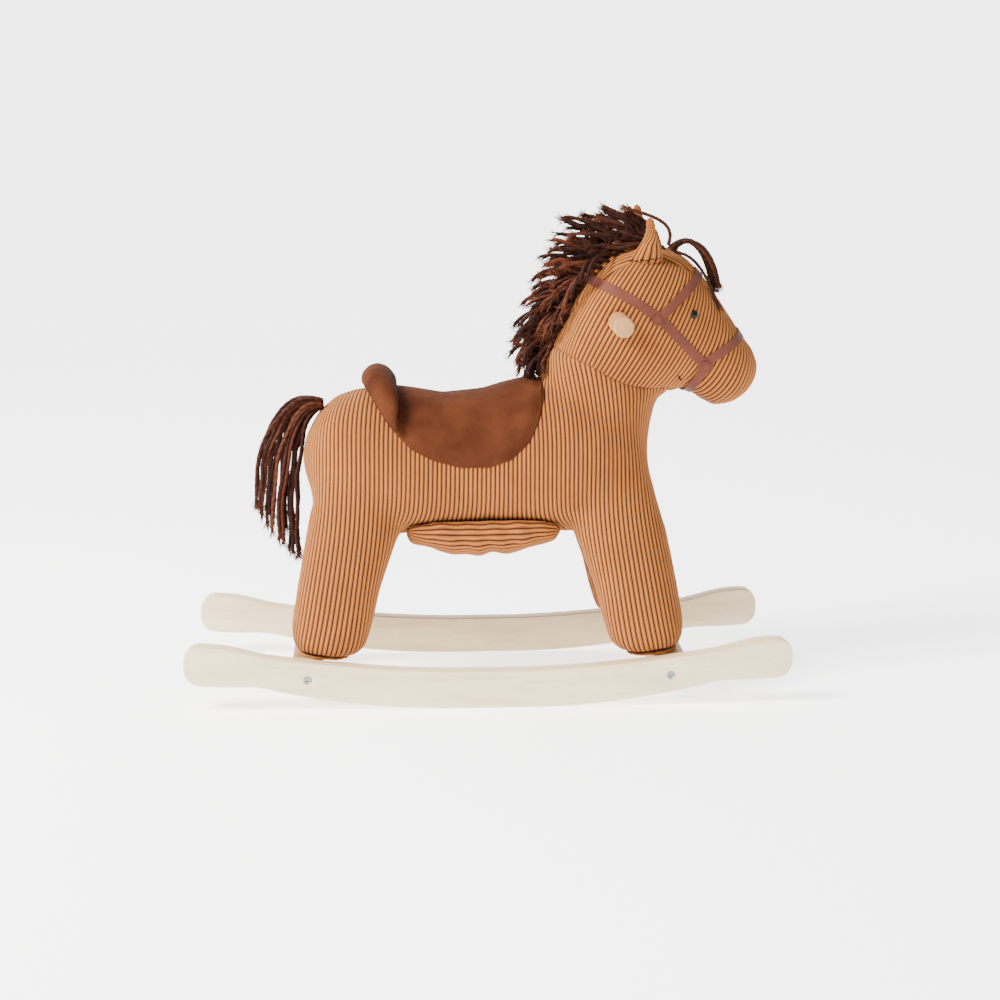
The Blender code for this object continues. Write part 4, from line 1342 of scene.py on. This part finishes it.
EAR_STITCHES = 13
ear_trees = {}
for side, piece in ears.items():
    ear_points, ear_faces = arrays(piece)
    ear_trees[side] = BVHTree.FromPolygons([Vector(p) for p in ear_points], ear_faces)
for side, sign in (("right", -1), ("left", 1)):
    bm = bmesh.new()
    for k in range(EAR_STITCHES):
        x = 0.1735 + 0.0350 * k / (EAR_STITCHES - 1)
        height = 0.5285 + 0.0010 * math.sin(k * 1.7) + 0.10 * (x - 0.191)
        outwards = Vector((x, sign * 0.3, height))
        hits = [tree.ray_cast(outwards, Vector((0, -sign, 0)))[:2] for tree in (skin_tree, ear_trees[side])]
        place, normal = min((hit for hit in hits if hit[0]), key=lambda hit: (hit[0] - outwards).length)
        place = place + normal * 0.0010
        dip = normal * -0.0010
        ends = place - Vector((0.0012, 0, -0.0004)) + dip, place + Vector((0.0012, 0, 0.0004)) + dip
        tube(bm, [ends[0], place, ends[1]], 0.00070)
    from_bmesh(f"ear_stitches_{side}", bm, dark_thread)

# %% [markdown]
# ## The bridle
# Four flat ribbons lie on the head. Each is made by laying a narrow grid of points on the skin: a row
# of lines is shot outwards from inside the head along the ribbon's path, swinging over the top or under
# the chin where the ribbon crosses to the other side, and the grid floats just over the wales.

# %% Ribbons on the head
RIBBON_WIDTH = 0.0115
RIBBON_FLOAT = 0.0009
RIBBON_THICK = 0.0010


def ribbon_rows(path, over=None, columns=6):
    """Rows of points on the right side of the head along a side-view path of (x, height) points.

    If over is True the last stretch swings over to the middle of the horse.
    """
    targets = []
    for (x0, z0), (x1, z1) in zip(path, path[1:]):
        way = Vector((x1 - x0, 0, z1 - z0))
        steps = max(2, int(way.length / 0.0025))
        for k in range(steps):
            targets.append((Vector((x0, 0, z0)) + way * (k / steps), Vector((0, -1, 0)), way.normalized()))
    way = Vector((path[-1][0] - path[-2][0], 0, path[-1][1] - path[-2][1])).normalized()
    end = Vector((path[-1][0], 0, path[-1][1]))
    if over:
        heart = end
        for k in range(40):
            turn = math.pi / 2 * k / 39
            out = Vector((0, -1, 0)) * math.cos(turn) + way * math.sin(turn)
            targets.append((heart, out, way))
    else:
        targets.append((end, Vector((0, -1, 0)), way))
    rows = []
    for heart, out, way in targets:
        tilt = way.cross((0, 1, 0)).normalized()
        row = []
        for k in range(columns):
            shift = tilt * (RIBBON_WIDTH * (k / (columns - 1) - 0.5))
            place, normal, _, _ = skin_tree.ray_cast(heart + shift, out)
            if place is None:
                row = None
                break
            row.append(place + normal * RIBBON_FLOAT)
        if row:
            rows.append(row)
    return rows


def even_rows(rows, rounds=2):
    for _ in range(rounds):
        eased = [rows[0]]
        for a, b, c in zip(rows, rows[1:], rows[2:]):
            eased.append([(p + q * 2 + r) / 4 for p, q, r in zip(a, b, c)])
        rows = eased + [rows[-1]]
    return rows


def lay_ribbon(name, node, path, over=None, lift=0.0):
    rows = even_rows(ribbon_rows(path, over))
    if over:
        for p in rows[-1]:
            p.y = 0.0
        rows = rows + [[Vector((p.x, -p.y, p.z)) for p in row] for row in rows[-2::-1]]
        sheets = [rows]
    else:
        sheets = [rows, [[Vector((p.x, -p.y, p.z)) for p in row][::-1] for row in rows]]
    coords, polygons, pairs = [], [], []
    for sheet in sheets:
        columns = len(sheet[0])
        start = len(coords)
        along = 0.0
        lengths = []
        for i, row in enumerate(sheet):
            if i:
                along += (row[columns // 2] - sheet[i - 1][columns // 2]).length
            lengths.append(along)
            for k, p in enumerate(row):
                a = row[max(k - 1, 0)]
                b = row[min(k + 1, columns - 1)]
                c = sheet[max(i - 1, 0)][k]
                d = sheet[min(i + 1, len(sheet) - 1)][k]
                out = (b - a).cross(d - c).normalized()
                if out.dot(p - Vector((0.19, 0, 0.44))) < 0:
                    out.negate()
                coords.append(tuple(p + out * lift))
        for i in range(len(sheet) - 1):
            for k in range(columns - 1):
                a = start + i * columns + k
                polygons.append([a, a + 1, a + columns + 1, a + columns])
                u, v = lengths[i], lengths[i + 1]
                s, t = RIBBON_WIDTH * k / (columns - 1), RIBBON_WIDTH * (k + 1) / (columns - 1)
                pairs.append([(u, s), (u, t), (v, t), (v, s)])
    mesh = bpy.data.meshes.new(name)
    mesh.from_pydata(coords, [], polygons)
    layer = mesh.uv_layers.new(name="weave")
    layer.data.foreach_set("uv", [float(c) for face in pairs for pair in face for c in pair])
    made = bpy.data.objects.new(name, mesh)
    bpy.context.scene.collection.objects.link(made)
    bm = bmesh.new()
    bm.from_mesh(mesh)
    outward = sum((f.normal.dot(f.calc_center_median() - Vector((0.19, 0, 0.44))) for f in bm.faces))
    if outward < 0:
        bmesh.ops.reverse_faces(bm, faces=bm.faces)
    bm.to_mesh(mesh)
    bm.free()
    grab(made)
    wall = made.modifiers.new("thickness", "SOLIDIFY")
    wall.thickness = RIBBON_THICK
    wall.offset = 1.0
    bpy.ops.object.modifier_apply(modifier="thickness")
    rim = made.modifiers.new("rim", "BEVEL")
    rim.width = 0.0003
    rim.segments = 2
    rim.limit_method = "ANGLE"
    bpy.ops.object.modifier_apply(modifier="rim")
    bpy.ops.object.shade_smooth_by_angle(angle=math.radians(40))
    made.data.materials.append(ribbon_cloth)
    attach(made, "horse")
    if node:
        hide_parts(node)
    return made


PATHS = {
    "headstall": [(0.2705, 0.3955), (0.2349, 0.4310), (0.2068, 0.4600), (0.1813, 0.4775), (0.1576, 0.4910),
                  (0.1350, 0.5005)],
    "browband": [(0.2040, 0.4600), (0.2376, 0.4895)],
    "noseband": [(0.2620, 0.4040), (0.2760, 0.4125)],
    "chinstrap": [(0.2665, 0.4060), (0.2610, 0.3945)],
}
LIFTS = {"headstall": 0.0, "browband": 0.0, "noseband": 0.0, "chinstrap": 0.0010}
for name, path in PATHS.items():
    strap = lay_ribbon(f"ribbon_{name}", f"bridle_{name}", path, over=True, lift=LIFTS[name])
    print(name, len(strap.data.polygons), "faces")

# %% [markdown]
# Where ribbons meet, their ends are lapped and sewn down with a small square of stitches. A lap is a grid
# of points laid on the head, thickened and bevelled, with short threads just inside its edge.

# %% Sewn laps
def on_skin(x, z, side, lift):
    """The point of the head's side over (x, height), and the skin's normal there."""
    place, normal, _, _ = skin_tree.ray_cast(Vector((x, 0, z)), Vector((0, side, 0)))
    return place + normal * lift, normal


LAPS = {"lap_brow": ((0.2022, 0.4588), -44), "lap_nose": ((0.2660, 0.4008), -46)}
LAP_SIZE = 0.0118
STITCH = 0.0021


def lap(name, centre, turn, side):
    """A square of ribbon with a line of stitches just inside its edge."""
    bm = bmesh.new()
    turn = math.radians(turn)
    along = (math.cos(turn), math.sin(turn))
    count = 7
    grid = []
    for i in range(count):
        row = []
        for k in range(count):
            a = LAP_SIZE * (i / (count - 1) - 0.5)
            b = LAP_SIZE * (k / (count - 1) - 0.5)
            x = centre[0] + along[0] * a - along[1] * b
            z = centre[1] + along[1] * a + along[0] * b
            place, _ = on_skin(x, z, side, RIBBON_FLOAT + 2 * RIBBON_THICK)
            row.append(bm.verts.new(place))
        grid.append(row)
    faces = []
    for i in range(count - 1):
        for k in range(count - 1):
            corner = (grid[i][k], grid[i + 1][k], grid[i + 1][k + 1], grid[i][k + 1])
            faces.append(bm.faces.new(corner if side < 0 else corner[::-1]))
    weave = bm.loops.layers.uv.new("weave")
    for face in bm.faces:
        for loop in face.loops:
            loop[weave].uv = (loop.vert.co.x, loop.vert.co.z)
    piece = from_bmesh(name, bm, ribbon_cloth)
    grab(piece)
    wall = piece.modifiers.new("wall", "SOLIDIFY")
    wall.thickness = 0.0009
    wall.offset = 0.0
    bpy.ops.object.modifier_apply(modifier="wall")
    rim = piece.modifiers.new("rim", "BEVEL")
    rim.width = 0.0003
    rim.segments = 2
    rim.limit_method = "ANGLE"
    bpy.ops.object.modifier_apply(modifier="rim")
    bpy.ops.object.shade_smooth_by_angle(angle=math.radians(40))
    bm = bmesh.new()
    reach = LAP_SIZE / 2 - 0.0017
    corners = [(-reach, -reach), (reach, -reach), (reach, reach), (-reach, reach)]
    for (a0, b0), (a1, b1) in zip(corners, corners[1:] + corners[:1]):
        steps = int(2 * reach / STITCH)
        for k in range(steps):
            ends = []
            for share in ((k + 0.15) / steps, (k + 0.5) / steps, (k + 0.85) / steps):
                a, b = a0 + (a1 - a0) * share, b0 + (b1 - b0) * share
                x = centre[0] + along[0] * a - along[1] * b
                z = centre[1] + along[1] * a + along[0] * b
                rise = 0.00055 if share == (k + 0.5) / steps else 0.0002
                ends.append(on_skin(x, z, side, RIBBON_FLOAT + 2 * RIBBON_THICK + rise)[0])
            tube(bm, ends, 0.00032, sides=4)
    from_bmesh(f"{name}_stitches", bm, ribbon_thread)


for name, (centre, turn) in LAPS.items():
    for side, word in ((-1, "right"), (1, "left")):
        lap(f"{name}_{word}", centre, turn, side)

# %% [markdown]
# An eye is a flattened sphere, turned to lie on the head and cut off just under the cloth, so that only
# the dome is left. The mouth is a short thick thread along three points on the cheek.

# %% Eyes and mouth
EYE_RADIUS = 0.0053
EYE_DOME = 0.0036
for side, word in ((-1, "right"), (1, "left")):
    low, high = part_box(f"eye_{word}")
    middle = (low + high) / 2
    place, normal = on_skin(middle.x, middle.z, side, 0.0002)
    bpy.ops.object.select_all(action="DESELECT")
    bpy.ops.mesh.primitive_uv_sphere_add(segments=40, ring_count=24, radius=1.0)
    eye = bpy.context.object
    eye.name = f"eye_bead_{word}"
    eye.scale = (EYE_RADIUS, EYE_RADIUS, EYE_DOME)
    eye.rotation_euler = normal.to_track_quat("Z", "Y").to_euler()
    eye.location = place
    bpy.ops.object.transform_apply(location=True, rotation=True, scale=True)
    bpy.ops.object.mode_set(mode="EDIT")
    bpy.ops.mesh.select_all(action="SELECT")
    bpy.ops.mesh.bisect(plane_co=place - normal * 0.0008, plane_no=normal, clear_inner=True, use_fill=True)
    bpy.ops.object.mode_set(mode="OBJECT")
    bpy.ops.object.shade_smooth_by_angle(angle=math.radians(50))
    eye.data.materials.append(eye_black)
    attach(eye, "horse")
    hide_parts(f"eye_{word}")

MOUTH = ((0.2325, 0.3895), (0.2340, 0.3860), (0.2368, 0.3838))
for side, word in ((-1, "right"), (1, "left")):
    bm = bmesh.new()
    tube(bm, [on_skin(x, z, side, 0.0016)[0] for x, z in MOUTH], 0.0009, sides=8)
    from_bmesh(f"mouth_stitch_{word}", bm, dark_thread)
print("eyes and mouth made")

# %% [markdown]
# ## Wood and screws
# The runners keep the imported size. Their edges are rounded over with a narrow bevel, which catches a
# line of light.

# %% Runners
def rounded(name, node, width, finish, angle=25, segments=3):
    piece = solids(name, [node])
    grab(piece)
    edge = piece.modifiers.new("edge", "BEVEL")
    edge.width = width
    edge.segments = segments
    edge.limit_method = "ANGLE"
    edge.angle_limit = math.radians(angle)
    edge.use_clamp_overlap = True
    bpy.ops.object.modifier_apply(modifier="edge")
    bpy.ops.object.shade_smooth_by_angle(angle=math.radians(35))
    piece.data.materials.append(finish)
    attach(piece, "horse")
    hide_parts(node)
    return piece


for side in ("right", "left"):
    rounded(f"runner_board_{side}", f"runner_{side}", 0.0007, runner_wood)

# %% [markdown]
# The handle is one turned bar through the head, so both grips are its ends. It is a cylinder with its
# end edges rounded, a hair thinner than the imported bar.

# %% Handle
def turned_bar(name, centre, radius, length, edge):
    bpy.ops.object.select_all(action="DESELECT")
    bpy.ops.mesh.primitive_cylinder_add(vertices=72, radius=radius, depth=length, location=centre,
                                        rotation=(math.pi / 2, 0, 0))
    made = bpy.context.object
    made.name = name
    bpy.ops.object.transform_apply(location=True, rotation=True, scale=True)
    step = made.modifiers.new("edge", "BEVEL")
    step.width = edge
    step.segments = 5
    step.limit_method = "ANGLE"
    bpy.ops.object.modifier_apply(modifier="edge")
    bpy.ops.object.shade_smooth_by_angle(angle=math.radians(30))
    return made


handle = turned_bar("handle_bar", handle_axis, handle_radius - 0.0002, handle_high.y - handle_low.y, 0.0022)
handle.data.materials.append(handle_wood)
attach(handle, "horse")
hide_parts("handle_dowel")

# %% [markdown]
# A screw head is a low cylinder whose outer face is inset four times: a flat rim, a shallow dish, a
# flat floor, and a round recess for the driver. The shank is a thin cylinder joined on behind.

# %% Screw heads
SCREW_SIDES = 36


def screw(name, node):
    """A cross-bar screw: a head with a dished rim and a round recess, and a plain shank behind it."""
    low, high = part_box(node)
    side = -1 if high.y < 0 else 1
    radius = (high.z - low.z) / 2
    face = low.y if side < 0 else high.y
    end = high.y if side < 0 else low.y
    middle = Vector(((low.x + high.x) / 2, 0, (low.z + high.z) / 2))
    bpy.ops.object.select_all(action="DESELECT")
    bpy.ops.mesh.primitive_cylinder_add(vertices=SCREW_SIDES, radius=radius * 0.93, depth=0.0026,
                                        location=(middle.x, face - side * 0.0013, middle.z),
                                        rotation=(math.pi / 2, 0, 0))
    head = bpy.context.object
    head.name = name
    bpy.ops.object.transform_apply(location=True, rotation=True, scale=True)
    bpy.ops.object.mode_set(mode="EDIT")
    bpy.ops.mesh.select_mode(type="FACE")
    bpy.ops.mesh.select_all(action="DESELECT")
    bpy.ops.object.mode_set(mode="OBJECT")
    for polygon in head.data.polygons:
        polygon.select = polygon.normal.y * side > 0.9
    bpy.ops.object.mode_set(mode="EDIT")
    bpy.ops.mesh.inset(thickness=radius * 0.16, depth=0.0)
    bpy.ops.mesh.inset(thickness=radius * 0.10, depth=-0.0005)
    bpy.ops.mesh.inset(thickness=radius * 0.22, depth=0.0)
    bpy.ops.mesh.inset(thickness=radius * 0.03, depth=-0.0018)
    bpy.ops.object.mode_set(mode="OBJECT")
    bpy.ops.object.select_all(action="DESELECT")
    bpy.ops.mesh.primitive_cylinder_add(vertices=16, radius=radius * 0.42, depth=abs(end - face) - 0.003,
                                        location=(middle.x, (face + end) / 2 - side * 0.0012, middle.z),
                                        rotation=(math.pi / 2, 0, 0))
    shank = bpy.context.object
    bpy.ops.object.transform_apply(location=True, rotation=True, scale=True)
    grab(head, shank)
    bpy.ops.object.join()
    bpy.ops.object.shade_smooth_by_angle(angle=math.radians(35))
    head.data.materials.append(zinc)
    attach(head, "horse")
    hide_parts(node)


for end in ("front", "rear"):
    for side in ("right", "left"):
        screw(f"runner_bolt_{end}_{side}", f"runner_screw_{end}_{side}")
print("wood and screws made")

# %% [markdown]
# ## Yarn hair
# Mane, forelock and tail are thick cords. A cord is three strands laid round each other, so each is a
# thin tube that winds round the cord's own line; at the free end the strands come undone into a brush
# of fibres. They are short tassels sewn down in bundles, and they hang by their roots.

# %% A laid cord
STRANDS = 3
LAY = 0.0100


def bezier(a, b, c, d, count):
    found = []
    for k in range(count):
        t = k / (count - 1)
        found.append(a * (1 - t) ** 3 + b * 3 * t * (1 - t) ** 2 + c * 3 * t * t * (1 - t) + d * t ** 3)
    return found


def resample(path, spacing):
    lengths = [0.0]
    for a, b in zip(path, path[1:]):
        lengths.append(lengths[-1] + (b - a).length)
    count = max(4, int(lengths[-1] / spacing) + 1)
    found = []
    for k in range(count):
        want = lengths[-1] * k / (count - 1)
        j = min(max(1, int(np.searchsorted(lengths, want))), len(path) - 1)
        share = (want - lengths[j - 1]) / max(lengths[j] - lengths[j - 1], 1e-9)
        found.append(path[j - 1].lerp(path[j], share))
    return found


def laid_cord(bm, layer, path, radius, chance, fray=16, fray_length=0.0105):
    """Three strands round the path, with a brush of loose fibres at the far end."""
    path = resample(path, 0.0024)
    side = Vector((0.21, 0.93, 0.13))
    tone = chance.uniform(0.15, 0.85)
    start = chance.uniform(0, math.tau)
    lines = [[] for _ in range(STRANDS)]
    travelled = 0.0
    for i, p in enumerate(path):
        way = (path[min(i + 1, len(path) - 1)] - path[max(i - 1, 0)]).normalized()
        side = (side - way * side.dot(way)).normalized()
        other = way.cross(side)
        if i:
            travelled += (p - path[i - 1]).length
        for s in range(STRANDS):
            turn = start + math.tau * (s / STRANDS + travelled / LAY)
            lines[s].append(p + (side * math.cos(turn) + other * math.sin(turn)) * radius * 0.46)
    for line in lines:
        shade = min(1.0, max(0.0, tone + chance.uniform(-0.15, 0.15)))
        tube(bm, line, radius * 0.58, sides=5, taper=0.96, tone=shade, layer=layer)
    way = (path[-1] - path[-3]).normalized()
    for _ in range(fray):
        drift = Vector([chance.gauss(0, 1) for _ in range(3)]) * 0.50
        reach = fray_length * chance.uniform(0.6, 1.15)
        root = path[-1] - way * 0.003 + Vector([chance.gauss(0, 1) for _ in range(3)]) * radius * 0.45
        middle = root + (way + drift * 0.5).normalized() * reach * 0.55
        tip = middle + (way + drift * 1.3).normalized() * reach * 0.6
        tube(bm, [root, middle, tip], 0.00060, sides=3, taper=0.45,
             tone=min(1.0, tone + chance.uniform(0.0, 0.45)), layer=layer)


def hair(name, cords, radius, seed, body, node, **options):
    chance = random.Random(seed)
    bm = bmesh.new()
    layer = bm.verts.layers.float.new("tone")
    for path in cords:
        laid_cord(bm, layer, path, radius * chance.uniform(0.92, 1.08), chance, **options)
    piece = from_bmesh(name, bm, hair_yarn, body=body)
    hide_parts(node)
    print(name, len(cords), "cords,", len(piece.data.polygons), "faces")
    return piece


def outside(point, clearance):
    """The point pushed out of the head or neck if it lies inside or too close."""
    place, normal, _, away = skin_tree.find_nearest(point)
    inside = (point - place).dot(normal) < 0
    if inside or away < clearance:
        return place + normal * clearance
    return point


def polar(turn, reach, y):
    angle = math.radians(turn)
    return Vector((CREST_CENTRE[0] + reach * math.cos(angle), y, CREST_CENTRE[1] + reach * math.sin(angle)))


def crest(turn, y=0.0):
    """The skin's point over the middle line, seen from the middle of the head at this angle."""
    heart = Vector((CREST_CENTRE[0], y, CREST_CENTRE[1]))
    way = (polar(turn, 1.0, y) - heart).normalized()
    place, _, _, _ = skin_tree.ray_cast(heart, way)
    return place, way


CREST_CENTRE = (0.160, 0.450)
MANE_EDGE = ((46, 0.118), (58, 0.130), (70, 0.137), (82, 0.141), (100, 0.146), (118, 0.145), (132, 0.131),
             (146, 0.117), (160, 0.110), (172, 0.119), (184, 0.129), (196, 0.135), (206, 0.138), (213, 0.132),
             (220, 0.108))


def mane_edge(turn):
    table = np.array(MANE_EDGE)
    return float(np.interp(turn, table[:, 0], table[:, 1]))


MANE_CORDS = 185


def waver(path, chance, size):
    """The same path with a slow sideways drift, as a cord that was never pulled straight."""
    phase = [chance.uniform(0, math.tau) for _ in range(3)]
    pace = [chance.uniform(60, 120) for _ in range(3)]
    found = []
    travelled = 0.0
    for i, p in enumerate(path):
        travelled += (p - path[i - 1]).length if i else 0.0
        grow = min(1.0, travelled / 0.02)
        drift = Vector([math.sin(travelled * pace[k] + phase[k]) for k in range(3)])
        found.append(p + drift * size * grow)
    return found


def mane_cords():
    chance = random.Random(7)
    cords = []
    for k in range(MANE_CORDS):
        turn = 56 + (198 - 56) * (k + chance.uniform(0.0, 1.0)) / MANE_CORDS
        layer = (k * 0.618) % 1.0
        y = chance.uniform(-1, 1) * (0.030 - 0.016 * layer)
        root, out = crest(turn, y)
        sweep_by = chance.uniform(24, 38) - 6 * layer
        if turn > 150:
            sweep_by *= 1 - 0.35 * min(1.0, (turn - 150) / 40)
        end_turn = min(turn + sweep_by, 215 + chance.uniform(-4, 3))
        under, _ = crest(end_turn, y)
        heart = Vector((CREST_CENTRE[0], under.y, CREST_CENTRE[1]))
        skin_reach = min((under - heart).length, mane_edge(end_turn) - 0.018)
        edge = mane_edge(end_turn) + chance.uniform(-0.008, 0.001)
        reach = skin_reach + (edge - skin_reach) * (0.22 + 0.78 * layer)
        end = polar(end_turn, reach, y * 1.25 + chance.uniform(-0.007, 0.007))
        flow = Vector((-math.sin(math.radians(turn)), 0, math.cos(math.radians(turn))))
        first = root + out * (0.006 + 0.016 * layer) + flow * 0.014
        near_turn = end_turn - 0.36 * sweep_by
        near = polar(near_turn, skin_reach + (reach - skin_reach) * 0.86, end.y)
        path = waver(bezier(root - out * 0.004, first, near, end, 14), chance, 0.0011)
        cords.append([path[0]] + [outside(p, 0.0028 + 0.0020 * layer) for p in path[1:]])
    for turn, y, end in ((96, -0.030, (0.1120, -0.056, 0.5060)), (104, -0.030, (0.1010, -0.056, 0.4890)),
                         (88, -0.028, (0.1210, -0.062, 0.5120)), (112, -0.028, (0.0930, -0.052, 0.4730)),
                         (122, -0.024, (0.0880, -0.046, 0.4560)), (134, -0.020, (0.0800, -0.040, 0.4430)),
                         (104, 0.030, (0.1080, 0.052, 0.4950)), (118, 0.026, (0.0940, 0.050, 0.4640))):
        root, out = crest(turn, y)
        end = Vector(end)
        path = bezier(root - out * 0.003, root + out * 0.008 + Vector((-0.016, 0, -0.002)),
                      end + Vector((0.008, 0, 0.026)), end, 14)
        path = waver(path, chance, 0.0010)
        cords.append([path[0]] + [outside(p, 0.0034) for p in path[1:]])
    return cords


hair("mane_cords", mane_cords(), 0.00285, 11, "horse", "mane")


def forelock_cords():
    chance = random.Random(5)
    cords = []
    for k in range(9):
        y = -0.013 + 0.026 * k / 8
        root, out = crest(50 + chance.uniform(-3, 3), y)
        top = Vector((0.250 + chance.uniform(-0.003, 0.003), y * 1.05, 0.5560 + chance.uniform(-0.004, 0.0)))
        end = Vector((0.2840 + chance.uniform(-0.004, 0.003), y * 1.1,
                      0.4920 + chance.uniform(-0.010, 0.008)))
        path = bezier(root - out * 0.003, top + Vector((-0.006, 0, 0.006)), top + Vector((0.026, 0, -0.006)),
                      end, 14)
        cords.append([path[0]] + [outside(p, 0.0030) for p in path[1:]])
    root, out = crest(50, -0.016)
    path = bezier(root - out * 0.003, Vector((0.2480, -0.026, 0.5440)), Vector((0.2740, -0.042, 0.5040)),
                  Vector((0.2790, -0.040, 0.4700)), 14)
    cords.append([path[0]] + [outside(p, 0.0032) for p in path[1:]])
    for y in (-0.022, -0.017, -0.012):
        start = Vector((0.2250 + 0.12 * y, y, 0.5440))
        rise = Vector((0.2330, y * 1.1, 0.5720 + 0.15 * y))
        cords.append(bezier(start, rise, Vector((0.2080, y * 1.2, 0.5800 + 0.1 * y)),
                            Vector((0.1640 - 0.4 * y, y * 1.2, 0.5880)), 18))
    return cords


hair("forelock_cords", forelock_cords(), 0.00235, 12, "horse", "forelock")


TAIL_COLUMNS = 9
TAIL_ROWS = 3


def tail_cords():
    chance = random.Random(3)
    cords = []
    outer = [Vector(p) for p in ((-0.1985, 0, 0.3535), (-0.2270, 0, 0.3700), (-0.2830, 0, 0.3400),
                                 (-0.2830, 0, 0.2290))]
    inner = [Vector(p) for p in ((-0.1985, 0, 0.3440), (-0.2120, 0, 0.3480), (-0.2350, 0, 0.3160),
                                 (-0.2320, 0, 0.1600))]
    for column in range(TAIL_COLUMNS):
        for row in range(TAIL_ROWS):
            share = (column + 0.5 * (row % 2)) / (TAIL_COLUMNS - 0.5)
            y = (row - (TAIL_ROWS - 1) / 2) * 0.0125 + chance.uniform(-0.003, 0.003)
            corners = [a.lerp(b, share) for a, b in zip(outer, inner)]
            for corner, spread in zip(corners, (0.35, 0.8, 1.2, 1.5)):
                corner.y = y * spread
            corners[3] += Vector((chance.uniform(-0.004, 0.004), 0, chance.uniform(-0.010, 0.012)))
            path = waver(bezier(*corners, 20), chance, 0.0013)
            cords.append(path[:2] + [outside(p, 0.0032) for p in path[2:]])
    return cords


hair("tail_cords", tail_cords(), 0.00265, 13, "tail", "tail", fray=18, fray_length=0.012)

# %% [markdown]
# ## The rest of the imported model
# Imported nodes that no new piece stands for, such as the inner frame and its screws, take the finish of
# their own kind, found by a word in the node's name.

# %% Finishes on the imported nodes
FINISH_OF = {"runner": runner_wood, "crossbar": inner_wood, "leg_post": inner_wood, "seat_board": inner_wood,
             "neck_board": inner_wood, "handle_dowel": handle_wood, "screw": zinc, "eye": eye_black,
             "bridle": ribbon_cloth, "saddle": saddle_cloth, "mane": hair_yarn, "forelock": hair_yarn,
             "tail": hair_yarn}
for name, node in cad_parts.items():
    for word, finish in FINISH_OF.items():
        if word in name:
            node.data.materials.clear()
            node.data.materials.append(finish)
